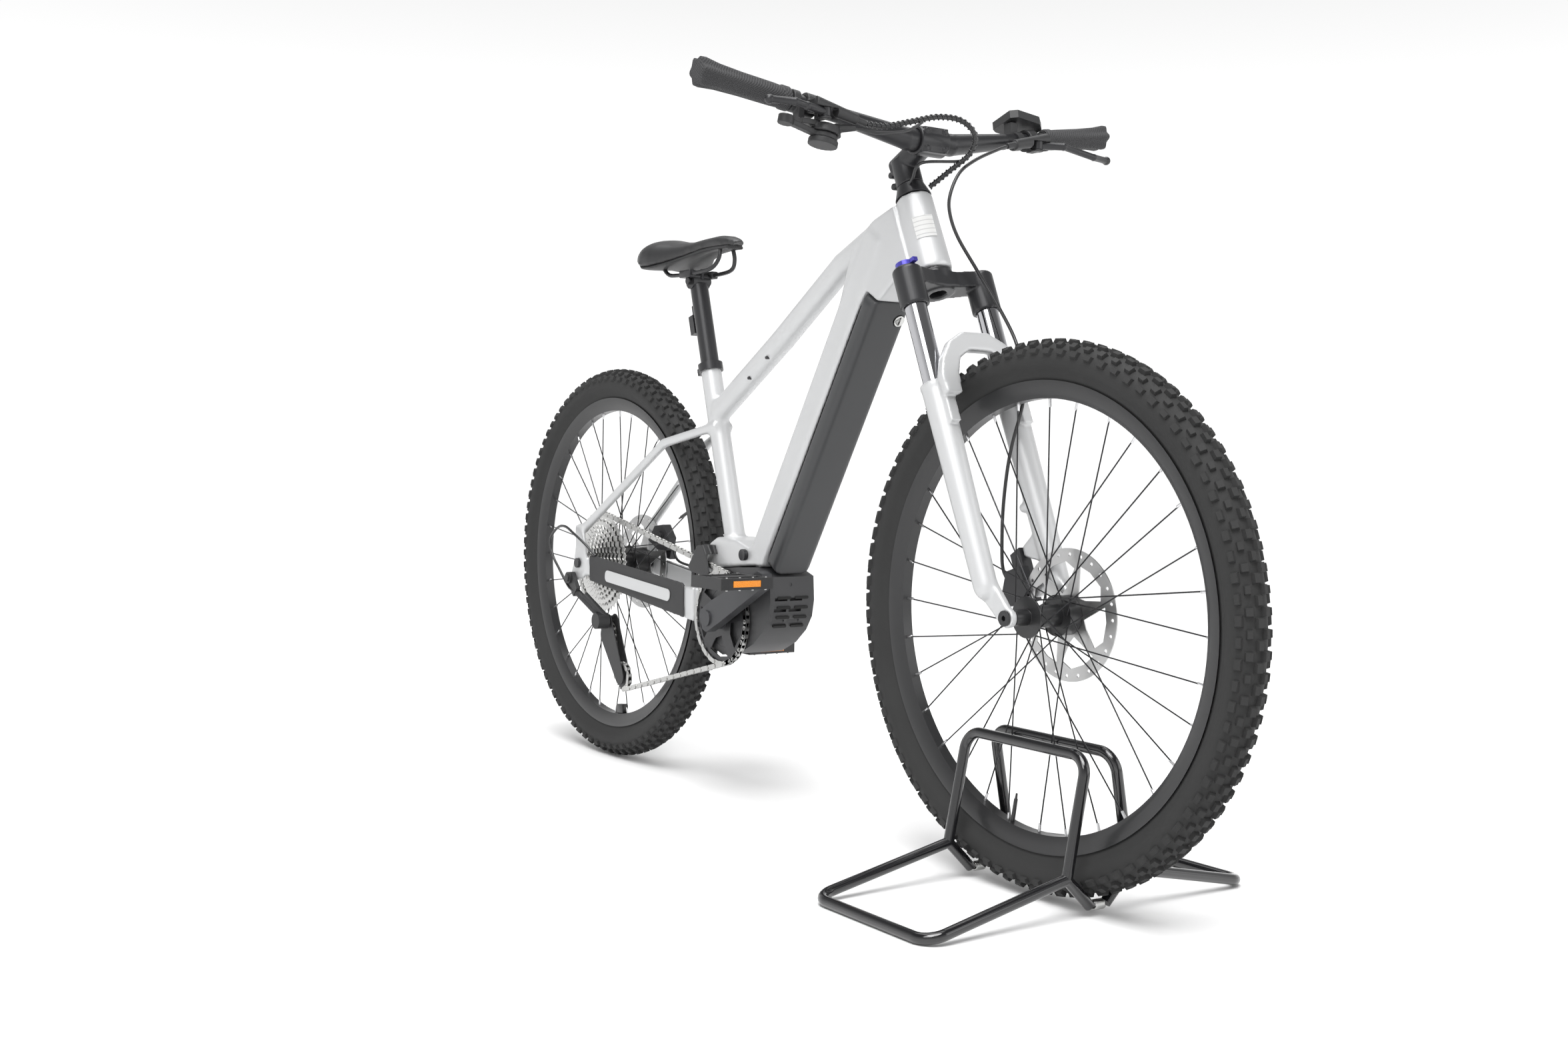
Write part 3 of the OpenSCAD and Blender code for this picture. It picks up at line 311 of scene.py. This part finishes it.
# Paper label with faint ruled lines on the front of the head tube.
foot = Vector((0.542, 0, 0.374))
ahead_line, steer_line = Vector((0.9212, 0, 0.3891)), Vector((-0.3891, 0, 0.9212))
paper = Finish("label_paper", (0.86, 0.86, 0.85), 0.45, 0.0, 0.1, 0.02)
rule = paper.axis(tuple(steer_line), tuple(foot + steer_line * 0.575)) * 900
paper.tone((0.86, 0.86, 0.85), (0.60, 0.60, 0.60), (rule.sine() - 0.75) * 4)
head_r = 0.0300
label = bmesh.new()
rows = []
for height in (0.558, 0.592):
    rows.append([label.verts.new(foot + steer_line * height + ahead_line * (math.cos(a) * head_r)
                                 + Vector((0, math.sin(a) * head_r, 0)))
                 for a in (math.radians(-62 + 6 * k) for k in range(11))])
for k in range(10):
    label.faces.new((rows[0][k], rows[0][k + 1], rows[1][k + 1], rows[1][k]))
bmesh.ops.solidify(label, geom=label.faces[:], thickness=-0.0012)
from_bmesh("head_label", label, paper, "main_frame")

# Large black bolt heads on the motor cradle, with a socket for the key.
bolts = bmesh.new()
for y in (-0.0455, 0.0455):
    out = math.copysign(0.001, y)
    head = rod(bolts, (-0.080, y, 0.415), (-0.080, y - 6 * out, 0.415), 0.0095, segments=32)
    face = max((f for v in head for f in v.link_faces), key=lambda f: f.calc_center_median().y * out)
    bmesh.ops.inset_region(bolts, faces=[face], thickness=0.0045)
    bmesh.ops.translate(bolts, verts=face.verts, vec=(0, -3 * out, 0))
from_bmesh("cradle_bolts", bolts, black, "frame_fittings")

# ---- motor ----
# Dark plastic cover with four rows of cooling slots on its nose, and a round motor behind it.
charcoal = Finish("charcoal_plastic", (0.030, 0.030, 0.032), 0.50, 0.0, 0.05, 0.05)
charcoal.bump(charcoal.noise(2600, 2), 0.00008, 0.5)
skin("motor_cover", charcoal, 0.007)
skin("motor_unit", charcoal)
# Near-black blocks set into the cooling slots are painted shade for the dark inside of the openings.
painted_slot_shade = Finish("painted_slot_shade", (0.004, 0.004, 0.004), 0.80, 0.0, 0.0, 0.02)
slot_shade_blocks = bmesh.new()
# Where the nose is, and how far it leans back, at the height of each row.
for x, z, lean in ((0.0046, 0.350, 2), (0.0036, 0.334, -9), (0.0002, 0.318, -20), (-0.0082, 0.303, -34)):
    for y in (-0.017, 0.017):
        bmesh.ops.create_cube(slot_shade_blocks, size=1, matrix=Matrix.Translation((x, y, z))
                              @ Matrix.Rotation(math.radians(-lean), 4, "Y")
                              @ Matrix.Diagonal((0.003, 0.026, 0.0048, 1)))
across = [e for e in slot_shade_blocks.edges if (e.verts[0].co - e.verts[1].co).length < 0.0035]
bmesh.ops.bevel(slot_shade_blocks, geom=across, offset=0.002, segments=3, profile=0.5, affect="EDGES",
                material=-1)
from_bmesh("motor_slot_shade", slot_shade_blocks, painted_slot_shade, "motor_cover")
matt_black = Finish("black_plastic", (0.020, 0.020, 0.021), 0.52, 0.0, 0.0, 0.05)
matt_black.bump(matt_black.noise(2200, 2), 0.00008, 0.5)
skin("chain_guide", matt_black, voxel=0.0012, rounds=8)

# ---- battery ----
# Matte anthracite cover over the whole front of the down tube, with its key lock near the top.
anthracite = Finish("anthracite", (0.034, 0.035, 0.037), 0.48, 0.0, 0.08, 0.04)
anthracite.bump(anthracite.noise(2000, 2), 0.00006, 0.4)
skin("battery", anthracite, voxel=0.002, rounds=5)
steel = Finish("bright_steel", (0.55, 0.55, 0.54), 0.25, 1.0, 0.0, 0.05)
steel.bump(steel.noise(2400, 2), 0.00003, 0.3)
skin("lock_barrel", steel, 0.0006)

# ---- chainstay guard, lines and rear brake ----
# Soft dark guard with a silver inlay; the gear cable loops out behind the axle.
rubber = Finish("soft_rubber", (0.030, 0.030, 0.031), 0.68, 0.0, 0.0, 0.05)
rubber.bump(rubber.noise(1600, 4), 0.00015, 0.5)
skin("stay_guard", rubber, voxel=0.0016, rounds=24)
inlay = bmesh.new()
turn = Matrix.Rotation(math.radians(3.2), 4, "Z")
bmesh.ops.create_cube(inlay, size=1, matrix=Matrix.Translation((-0.385, -0.0708, 0.342)) @ turn
                      @ Matrix.Rotation(math.radians(5.4), 4, "Y")
                      @ Matrix.Diagonal((0.215, 0.0014, 0.021, 1)))
across = [e for e in inlay.edges if abs((e.verts[0].co - e.verts[1].co).y) > 0.0010
          and (e.verts[0].co - e.verts[1].co).length < 0.003]
bmesh.ops.bevel(inlay, geom=across, offset=0.0085, segments=6, profile=0.5, affect="EDGES",
                material=-1)
from_bmesh("guard_inlay", inlay, silver, "stay_guard")
skin("rear_caliper", black, 0.0010)
skin("gear_mech", matt_black, 0.0012)


def smooth_run(points, steps):
    """Catmull-Rom run through points."""
    points = [Vector(p) for p in points]
    padded = [points[0], *points, points[-1]]
    run = []
    for a, b, c, d in zip(padded, padded[1:], padded[2:], padded[3:]):
        for k in range(steps):
            t = k / steps
            run.append(0.5 * (2 * b + (c - a) * t + (2 * a - 5 * b + 4 * c - d) * t * t
                              + (3 * b - a - 3 * c + d) * t ** 3))
    return run + [points[-1]]


def tube(name, runs, radius, finish, node, replaces=False):
    """Round cables through the given runs of points, as one curve object."""
    data = bpy.data.curves.new(name, "CURVE")
    data.dimensions = "3D"
    data.bevel_depth = radius
    data.bevel_resolution = 3
    data.use_fill_caps = True
    for run in runs:
        spline = data.splines.new("POLY")
        spline.points.add(len(run) - 1)
        for point, place_at in zip(spline.points, run):
            point.co = (*place_at, 1)
    return place(name, data, finish, node, replaces)


cable = Finish("cable_cover", (0.012, 0.012, 0.013), 0.35, 0.0, 0.2, 0.04)
gear_cable = smooth_run([(-0.533, -0.076, 0.386), (-0.560, -0.086, 0.408), (-0.589, -0.092, 0.424),
                         (-0.625, -0.092, 0.436), (-0.658, -0.092, 0.432), (-0.688, -0.092, 0.408),
                         (-0.676, -0.092, 0.378), (-0.650, -0.092, 0.355), (-0.610, -0.092, 0.324),
                         (-0.590, -0.090, 0.316)], 10)
stay_hose = smooth_run([(-0.232, 0.052, 0.355), (-0.300, 0.057, 0.360), (-0.400, 0.062, 0.3695),
                        (-0.470, 0.066, 0.3775), (-0.492, 0.068, 0.402), (-0.490, 0.068, 0.420)], 10)
tube("rear_cables", [gear_cable, stay_hose], 0.0024, cable, "rear_lines", True)

# ---- seat ----
# Smooth black saddle on steel rails, clamped on a black post with a small lamp mount behind it.
skin("seatpost", black, 0.0008)
rails = [smooth_run([(-0.214, s * 0.012, 0.936), (-0.212, s * 0.016, 0.914), (-0.228, s * 0.0205, 0.898),
                     (-0.270, s * 0.0225, 0.8935), (-0.340, s * 0.0230, 0.8935), (-0.368, s * 0.025, 0.898),
                     (-0.384, s * 0.030, 0.918)], 8) for s in (-1, 1)]
tube("saddle_rail_bars", rails, 0.0036, black, "saddle_rails", True)
clamp = bmesh.new()
head = Vector((-0.3045, 0, 0.8935))
for y, wide, deep, tall, lift in ((-0.023, 0.036, 0.013, 0.013, 0), (0.023, 0.036, 0.013, 0.013, 0),
                                  (0, 0.026, 0.046, 0.006, -0.004)):
    bmesh.ops.create_cube(clamp, size=1, matrix=Matrix.Translation(head + Vector((0, y, lift)))
                          @ Matrix.Diagonal((wide, deep, tall, 1)))
bmesh.ops.bevel(clamp, geom=clamp.edges[:], offset=0.002, segments=3, profile=0.5, affect="EDGES",
                material=-1)
for x in (-0.013, 0.013):
    rod(clamp, head + Vector((x, 0, -0.008)), head + Vector((x, 0, 0.009)), 0.0032, segments=16)
from_bmesh("rail_clamp", clamp, black, "saddle_rails")
leather = Finish("saddle_cover", (0.020, 0.020, 0.021), 0.42, 0.0, 0.05, 0.06)
leather.bump(leather.noise(1100, 5), 0.00012, 0.4)
low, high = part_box("saddle_pad")
length = high.x - low.x
# Along the saddle: share of the length, half width, underside, top.
sections = [(0.00, 0.036, 0.926, 0.950), (0.03, 0.060, 0.914, 0.959), (0.12, 0.071, 0.906, 0.962),
            (0.22, 0.068, 0.906, 0.960), (0.35, 0.052, 0.912, 0.953), (0.49, 0.034, 0.921, 0.950),
            (0.64, 0.026, 0.928, 0.953), (0.81, 0.022, 0.930, 0.955), (0.93, 0.019, 0.929, 0.950),
            (1.00, 0.010, 0.932, 0.943)]
edge_roll = 0.006


def saddle_loft(sections):
    """Closed saddle shape through crowned rings."""
    solid = bmesh.new()
    rings = []
    for share, half, under, top in sections:
        ring = bmesh.ops.create_circle(solid, cap_ends=share in (sections[0][0], sections[-1][0]),
                                       segments=32, radius=1)["verts"]
        for vert in ring:
            c, d = vert.co.x, vert.co.y
            crown = (top - under - edge_roll) * max(d, 0) ** 0.8
            lip = edge_roll * d + (1 - abs(c)) * edge_roll
            z = under + edge_roll + (crown if d >= 0 else lip)
            vert.co = (low.x + share * length, half * c, z)
        rings.append({edge for vert in ring for edge in vert.link_edges})
    for first, second in zip(rings, rings[1:]):
        bmesh.ops.bridge_loops(solid, edges=list(first | second))
    return solid


# Hard shell under the pad, a little smaller than it all round.
shell = saddle_loft([(share, half * 0.90, under - 0.004, under + 0.009)
                     for share, half, under, top in sections[1:-1]])
from_bmesh("saddle_shell", shell, matt_black, "saddle_base", True, 50)
saddle = from_bmesh("saddle_cushion", saddle_loft(sections), leather, "saddle_pad", True)
remesh = saddle.modifiers.new("remesh", "REMESH")
remesh.mode = "VOXEL"
remesh.voxel_size = 0.005
remesh.use_smooth_shade = True


def apply_modifiers(obj):
    """Bakes what the modifiers show into the object's own mesh."""
    shown = obj.evaluated_get(bpy.context.evaluated_depsgraph_get())
    baked = bpy.data.meshes.new_from_object(shown)
    obj.modifiers.clear()
    obj.data = baked


apply_modifiers(saddle)
swell = 0.003
held = saddle.vertex_groups.new(name="held")
held.add([v.index for v in saddle.data.vertices if v.normal.z < -0.2], 1.0, "REPLACE")
before = [v.co.copy() for v in saddle.data.vertices]
cloth = saddle.modifiers.new("fill", "CLOTH")
cloth.settings.use_pressure = True
cloth.settings.uniform_pressure_force = 4
cloth.settings.effector_weights.gravity = 0
cloth.settings.tension_stiffness = 30
cloth.settings.compression_stiffness = 30
cloth.settings.bending_stiffness = 4
cloth.settings.vertex_group_mass = "held"
cloth.point_cache.frame_start = 1
cloth.point_cache.frame_end = 20
for step in range(1, 21):
    scene.frame_set(step)
apply_modifiers(saddle)
for vert, old in zip(saddle.data.vertices, before):
    move = vert.co - old
    if move.length > swell:
        vert.co = old + move * (swell / move.length)
scene.frame_set(1)
ease = saddle.modifiers.new("ease", "SMOOTH")
ease.iterations = 6
finer = saddle.modifiers.new("finer", "SUBSURF")
finer.levels = finer.render_levels = 1

# ---- fork ----
# Silver lower legs joined by an arch, chrome inner legs, and a black crown with the blue lockout.
legs = [foot + ahead_line * 0.020 + Vector((0, y, 0)) for y in (-0.066, 0.066)]
skin("fork_lowers", silver, voxel=0.0022, rounds=12,
     plugs=[(leg + steer_line * 0.06, leg + steer_line * 0.325, 0.0163) for leg in legs])
skin("fork_crown", black, voxel=0.0016, rounds=6)
chrome = Finish("chrome", (0.50, 0.50, 0.52), 0.07, 1.0, 0.0, 0.02)
skin("stanchions", chrome, 0)
violet = Finish("lockout_anodised", (0.08, 0.07, 0.42), 0.30, 0.7, 0.1, 0.05)
skin("lockout_lever", violet, 0.0006)
skin("front_axle", black)
skin("front_caliper", black, 0.0010)

# ---- cockpit ----
# Black stem and riser bar, dark grips, two brake levers, a gear shifter and a small display.
skin("stem", black, voxel=0.0012, rounds=5)
for node in ("handlebar", "bearing_cover", "lever_right", "lever_left"):
    skin(node, black, 0.0008)
for node in ("master_right", "master_left", "shifter", "shift_paddle"):
    skin(node, matt_black, voxel=0.001, rounds=4)
skin("remote", matt_black, 0.0016)
grip_finish = Finish("grip_rubber", (0.034, 0.034, 0.036), 0.72, 0.0, 0.0, 0.04)
across = grip_finish.axis((0.13, 0.99, 0)) * 1500
around = (grip_finish.axis((1, 0, 0)) + grip_finish.axis((0, 0, 1))) * 1500
grip_finish.bump(across.sine() * around.sine(), 0.0006, 0.8)
bar_rise = Vector((-0.020, 0.217, 0.034)) / 0.217
# Along a grip: distance out from the stem, radius across the flats, corner height.
grip_form = ((0.236, 0.0145, 0), (0.238, 0.0168, 0), (0.247, 0.0168, 0), (0.249, 0.0152, 0),
             (0.262, 0.0158, 0.0002), (0.310, 0.0160, 0.0006), (0.345, 0.0168, 0.0014),
             (0.366, 0.0188, 0.0022), (0.373, 0.0180, 0.0022), (0.3745, 0.0150, 0.0012))
grip_ends = (grip_form[0][0], grip_form[-1][0])
for node, s in (("grip_right", -1), ("grip_left", 1)):
    grip = bmesh.new()
    rings = []
    for out, radius, corner in grip_form:
        ring = bmesh.ops.create_circle(grip, cap_ends=out in grip_ends, segments=48,
                                       radius=1)["verts"]
        for vert in ring:
            angle = math.atan2(vert.co.y, vert.co.x)
            reach = radius + corner * math.cos(6 * angle)
            share = bar_rise * (out - 0.150)
            vert.co = (0.318 + share.x + reach * math.cos(angle), s * out,
                       1.055 + share.z + reach * math.sin(angle))
        rings.append({edge for vert in ring for edge in vert.link_edges})
    for first, second in zip(rings, rings[1:]):
        bmesh.ops.bridge_loops(grip, edges=list(first | second))
    from_bmesh(f"{node}_rubber", grip, grip_finish, node, True)
hose_run = smooth_run([(0.350, 0.131, 1.042), (0.352, 0.105, 1.032), (0.360, 0.060, 1.012),
                       (0.369, 0.024, 0.989), (0.375, 0.003, 0.957), (0.375, 0.002, 0.931),
                       (0.378, 0.015, 0.897), (0.392, 0.040, 0.851), (0.421, 0.057, 0.798),
                       (0.449, 0.066, 0.748), (0.479, 0.054, 0.700), (0.494, 0.042, 0.661),
                       (0.473, 0.039, 0.589), (0.455, 0.045, 0.516), (0.451, 0.048, 0.450),
                       (0.453, 0.050, 0.424), (0.4645, 0.051, 0.408)], 8)
tube("front_brake_hose", [hose_run], 0.0025, cable, "front_hose", True)
bundle = smooth_run([(0.350, -0.131, 1.042), (0.354, -0.100, 1.042), (0.362, -0.060, 1.052),
                     (0.372, -0.020, 1.062), (0.380, 0.016, 1.060), (0.384, 0.038, 1.042),
                     (0.372, 0.040, 1.018), (0.340, 0.024, 0.992), (0.317, 0.012, 0.974)], 16)
shift_cable = smooth_run([(0.3495, -0.149, 1.034), (0.360, -0.115, 1.030), (0.366, -0.070, 1.038),
                          (0.367, -0.044, 1.053)], 8)
display_cable = smooth_run([(0.352, 0.062, 1.030), (0.356, 0.040, 1.010), (0.330, -0.014, 1.004),
                            (0.312, -0.016, 0.984), (0.303, -0.014, 0.976)], 8)
tube("control_cables", [bundle], 0.0034, cable, "bar_cables", True)
tube("thin_cables", [shift_cable, display_cable], 0.0022, cable, "bar_cables")
wrap = []
wrap_pitch, wrap_r, wrap_steps = 0.0075, 0.0037, 6
side = Vector((0, 0, 1))
travel = 0.0
for a, b in zip(bundle, bundle[1:]):
    ahead = (b - a).normalized()
    side = (side - ahead * side.dot(ahead)).normalized()
    other = ahead.cross(side)
    for k in range(wrap_steps):
        turn_angle = 2 * math.pi * (travel + (b - a).length * k / wrap_steps) / wrap_pitch
        wrap.append(a + (b - a) * k / wrap_steps + (side * math.cos(turn_angle)
                                                    + other * math.sin(turn_angle)) * wrap_r)
    travel += (b - a).length
tube("spiral_wrap", [wrap], 0.0012, cable, "bar_cables")

# ---- wheels ----
# Blocky mountain tyres on black hollow rims, laced with black spokes in silver nipples.
tyre_rubber = Finish("tyre_rubber", (0.017, 0.017, 0.017), 0.78, 0.0, 0.0, 0.06)
tyre_rubber.bump(tyre_rubber.noise(900, 4), 0.0002, 0.5)
rim_paint = Finish("rim_black", (0.016, 0.016, 0.017), 0.36, 0.1, 0.15, 0.04)
spoke_black = Finish("spoke_black", (0.03, 0.03, 0.032), 0.32, 0.8, 0.0, 0.03)
nipple_silver = Finish("nipple_silver", (0.62, 0.62, 0.63), 0.28, 1.0, 0.0, 0.03)
# Round part of the tyre: its centre under the tread, its height and half width.
section_drop, section_high, section_half = 0.029, 0.0225, 0.0262
for end in ("front", "rear"):
    hub = centre(f"{end}_tyre")
    low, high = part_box(f"{end}_tyre")
    outer = (high.z - low.z) / 2
    casing = bmesh.new()
    section = []
    for k in range(27):
        t = math.radians(-130 + k * 10)
        section.append((outer - section_drop + section_high * math.cos(t), section_half * math.sin(t)))
    section = [(outer - 0.066, -0.0105), (outer - 0.056, -0.0122), *section,
               (outer - 0.056, 0.0122), (outer - 0.066, 0.0105)]
    ring = [casing.verts.new((hub.x + r, y, hub.z)) for r, y in section]
    for a, b in zip(ring, ring[1:] + ring[:1]):
        casing.edges.new((a, b))
    bmesh.ops.spin(casing, geom=casing.verts[:] + casing.edges[:], axis=(0, 1, 0), cent=hub,
                   angle=2 * math.pi, steps=144, use_merge=True)
    from_bmesh(f"{end}_casing", casing, tyre_rubber, f"{end}_tyre", True, 60)
    knobs = bmesh.new()
    # Rows of blocks: angle round the section, length, width, height, blocks, offset.
    for lean, long, wide, tall, count, shift in ((11, 0.0125, 0.0085, 0.0058, 88, 0.0),
                                                 (38, 0.0105, 0.0085, 0.0056, 88, 0.5),
                                                 (66, 0.0130, 0.0080, 0.0050, 88, 0.1)):
        for s in (-1, 1):
            t = math.radians(s * lean)
            r = outer - section_drop + section_high * math.cos(t)
            y = section_half * math.sin(t)
            for k in range(count):
                a = 2 * math.pi * (k + shift + (0.5 if s > 0 and lean < 30 else 0)) / count
                spot = (Matrix.Translation(hub) @ Matrix.Rotation(-a, 4, "Y")
                        @ Matrix.Translation((r, y, 0)) @ Matrix.Rotation(t, 4, "Z")
                        @ Matrix.Rotation(math.pi / 2, 4, "Y")
                        @ Matrix.Translation((0, 0, tall / 2 - 0.0012))
                        @ Matrix.Diagonal((long, wide * (1.15 if k % 2 else 0.9), 1, 1))
                        @ Matrix.Rotation(math.pi / 4, 4, "Z"))
                bmesh.ops.create_cone(knobs, cap_ends=True, segments=4, radius1=0.78, radius2=0.60,
                                      depth=tall + 0.0012, matrix=spot)
    from_bmesh(f"{end}_knobs", knobs, tyre_rubber, f"{end}_tyre")
    skin(f"{end}_rim", rim_paint, 0)
    skin(f"{end}_spokes", spoke_black, 0)
    skin(f"{end}_hub", rim_paint, 0.0004)
    rim_low, rim_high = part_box(f"{end}_rim")
    inner = (rim_high.z - rim_low.z) / 2 - 0.024
    nipples = bmesh.new()
    for k in range(32):
        a = 2 * math.pi * k / 32
        out = Vector((math.cos(a), 0, math.sin(a)))
        y = 0.0025 if k % 2 == 0 else -0.0025
        rod(nipples, hub + out * inner + Vector((0, y, 0)),
            hub + out * (inner - 0.011) + Vector((0, y * 1.4, 0)), 0.0021, 0.0017, 8)
    from_bmesh(f"{end}_nipples", nipples, nipple_silver, f"{end}_rim")
    valve = bmesh.new()
    a = math.radians(-100 if end == "front" else 22)
    out = Vector((math.cos(a), 0, math.sin(a)))
    rod(valve, hub + out * inner, hub + out * (inner - 0.032), 0.003, 0.0027, 12)
    rod(valve, hub + out * (inner - 0.032), hub + out * (inner - 0.040), 0.0019, 0.0014, 10)
    from_bmesh(f"{end}_valve", valve, cable, f"{end}_rim")
    if end == "rear":
        magnet = bmesh.new()
        a = math.radians(-84)
        out = Vector((math.cos(a), 0, math.sin(a)))
        bmesh.ops.create_cube(magnet, size=1, matrix=Matrix.Translation(hub + out * (inner - 0.009))
                              @ Matrix.Rotation(-a, 4, "Y") @ Matrix.Diagonal((0.018, 0.014, 0.026, 1)))
        bmesh.ops.bevel(magnet, geom=magnet.edges[:], offset=0.003, segments=2, profile=0.5,
                        affect="EDGES", material=-1)
        from_bmesh("speed_magnet", magnet, cable, "rear_rim")
    brushed = Finish(f"{end}_disc_steel", (0.50, 0.50, 0.50), 0.30, 1.0, 0.0, 0.05)
    brushed.bump((brushed.radius(hub.x, hub.z) * 9000).sine(), 0.00002, 0.4)
    skin(f"{end}_disc", brushed, 0)

# ---- drive ----
# Dark forged cranks, a black windowed chainring, a wide-range cassette and a long pulley cage.
crank_grey = Finish("crank_grey", (0.055, 0.056, 0.060), 0.46, 0.5, 0.05, 0.05)
crank_grey.bump(crank_grey.noise(2000), 0.00005, 0.4)
skin("crank_right", crank_grey, 0.0030)
skin("crank_left", crank_grey, 0.0030)
skin("chainring", black, 0.0003)
cog_steel = Finish("cog_steel", (0.60, 0.60, 0.59), 0.28, 1.0, 0.0, 0.06)
cog_steel.bump((cog_steel.radius(-0.589, 0.369) * 7000).sine(), 0.00002, 0.3)
skin("cassette", cog_steel, 0)
for node in ("mech_cage", "guide_pulley", "tension_pulley"):
    skin(node, matt_black, 0.0004)
for node in ("pedal_right", "pedal_left"):
    skin(node, matt_black, 0.0012)
    pin = centre(node)
    body_y = pin.y + math.copysign(0.0095, pin.y)
    amber = Finish(f"{node}_amber", (0.85, 0.28, 0.02), 0.22, 0.0, 0.5, 0.05)
    amber.bump((amber.axis((0, 1, 0)) * 2400).sine() * (amber.axis((0, 0, 1)) * 2400).sine(),
               0.0003, 0.6)
    lens = bmesh.new()
    for s in (-1, 1):
        bmesh.ops.create_cube(lens, size=1, matrix=Matrix.Translation((pin.x + s * 0.0425, body_y, pin.z))
                              @ Matrix.Diagonal((0.003, 0.050, 0.0098, 1)))
    from_bmesh(f"{node}_reflectors", lens, amber, node)
    studs = bmesh.new()
    for s in (-1, 1):
        for y in (-0.036, -0.012, 0.012, 0.036):
            rod(studs, (pin.x + s * 0.0405, body_y + y, pin.z - 0.0105),
                (pin.x + s * 0.0405, body_y + y, pin.z + 0.0105), 0.0018, segments=8)
    from_bmesh(f"{node}_studs", studs, steel, node)

# Chain on its rest route: cassette, chainring, tension pulley and guide pulley.
chain_steel = Finish("chain_steel", (0.50, 0.50, 0.49), 0.30, 1.0, 0.0, 0.08)
pitch = 0.0127
ring, big = centre("chainring"), centre("rear_tyre")
guide, tension = centre("guide_pulley"), centre("tension_pulley")
ring_y, big_y = ring.y, guide.y


def pitch_radius(teeth):
    return pitch / 2 / math.sin(math.pi / teeth)


def heading(a, b):
    return math.atan2(b.z - a.z, b.x - a.x)


def spread(a, b):
    return math.hypot(b.x - a.x, b.z - a.z)


def bow(c, y, r, a1, a2, steps):
    return [Vector((c.x + r * math.cos(a1 + (a2 - a1) * k / steps), y,
                    c.z + r * math.sin(a1 + (a2 - a1) * k / steps))) for k in range(steps + 1)]


r_ring, r_big, r_pulley = pitch_radius(38), pitch_radius(46), pitch_radius(12)
a_top = heading(big, ring) + math.acos((r_big - r_ring) / spread(big, ring))
a_low = heading(ring, tension) + math.acos((r_ring - r_pulley) / spread(ring, tension))
a_mid = heading(tension, guide) + math.acos(2 * r_pulley / spread(tension, guide))
a_in = heading(guide, big) - math.acos((r_pulley + r_big) / spread(guide, big))
full = 2 * math.pi
start = a_in + math.pi + (full if a_in + math.pi < a_top else 0)
route = (bow(big, big_y, r_big, start, a_top, 60) + bow(ring, ring_y, r_ring, a_top, a_low - full, 60)
         + bow(tension, big_y, r_pulley, a_low, a_mid, 20)
         + bow(guide, big_y, r_pulley, a_mid - math.pi, a_in, 20))
route.append(route[0])
along = [0.0]
for a, b in zip(route, route[1:]):
    along.append(along[-1] + (b - a).length)
links = 2 * round(along[-1] / pitch / 2)
joints = []
segment = 0
for k in range(links):
    want = along[-1] * k / links
    while along[segment + 1] < want:
        segment += 1
    share = (want - along[segment]) / max(along[segment + 1] - along[segment], 1e-9)
    joints.append(route[segment].lerp(route[segment + 1], share))
chain = bmesh.new()
for k, (a, b) in enumerate(zip(joints, joints[1:] + joints[:1])):
    ahead = (b - a).normalized()
    cross = Vector((0, 1, 0))
    cross = (cross - ahead * cross.dot(ahead)).normalized()
    basis = Matrix((ahead, ahead.cross(cross), cross)).transposed().to_4x4()
    spot = Matrix.Translation((a + b) / 2) @ basis
    reach = (b - a).length / 2
    for s in (-1, 1):
        offset = s * (0.0036 if k % 2 else 0.0025)
        plate = bmesh.ops.create_circle(chain, cap_ends=True, segments=12, radius=0.0041,
                                        matrix=Matrix.Rotation(math.pi / 12, 4, "Z"))["verts"]
        for vert in plate:
            vert.co.x += math.copysign(reach, vert.co.x)
            vert.co.z = offset - 0.0005
        face = plate[0].link_faces[0]
        top = bmesh.ops.extrude_face_region(chain, geom=[face])["geom"]
        lifted = [g for g in top if isinstance(g, bmesh.types.BMVert)]
        for vert in lifted:
            vert.co.z += 0.001
        bmesh.ops.transform(chain, matrix=spot, verts=plate + lifted)
    rod(chain, a - cross * 0.0043, a + cross * 0.0043, 0.0019, segments=8)
    rod(chain, a - cross * 0.0024, a + cross * 0.0024, 0.0038, segments=10)
from_bmesh("chain_links", chain, chain_steel, "chain", True)

# ---- stand ----
# Gloss black bent tube in two halves that fold together under the tyre, held by coil springs.
gloss_black = Finish("stand_gloss", (0.006, 0.006, 0.007), 0.14, 0.0, 0.6, 0.04)
for node in ("stand_right", "stand_left"):
    skin(node, gloss_black, 0)
spring_low, spring_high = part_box("stand_springs")
coils = []
coil_r, coil_turns, coil_steps, coil_end = 0.0058, 8, 14, 0.0006
coil_length = spring_high.y - spring_low.y - 2 * coil_end
for x in (spring_low.x + 0.0075, spring_high.x - 0.0075):
    z = (spring_low.z + spring_high.z) / 2
    coils.append([Vector((x + coil_r * math.cos(k / coil_steps * full),
                          spring_low.y + coil_end + coil_length * k / (coil_turns * coil_steps),
                          z + coil_r * math.sin(k / coil_steps * full)))
                  for k in range(coil_turns * coil_steps + 1)])
tube("stand_coils", coils, 0.0013, steel, "stand_springs", True)
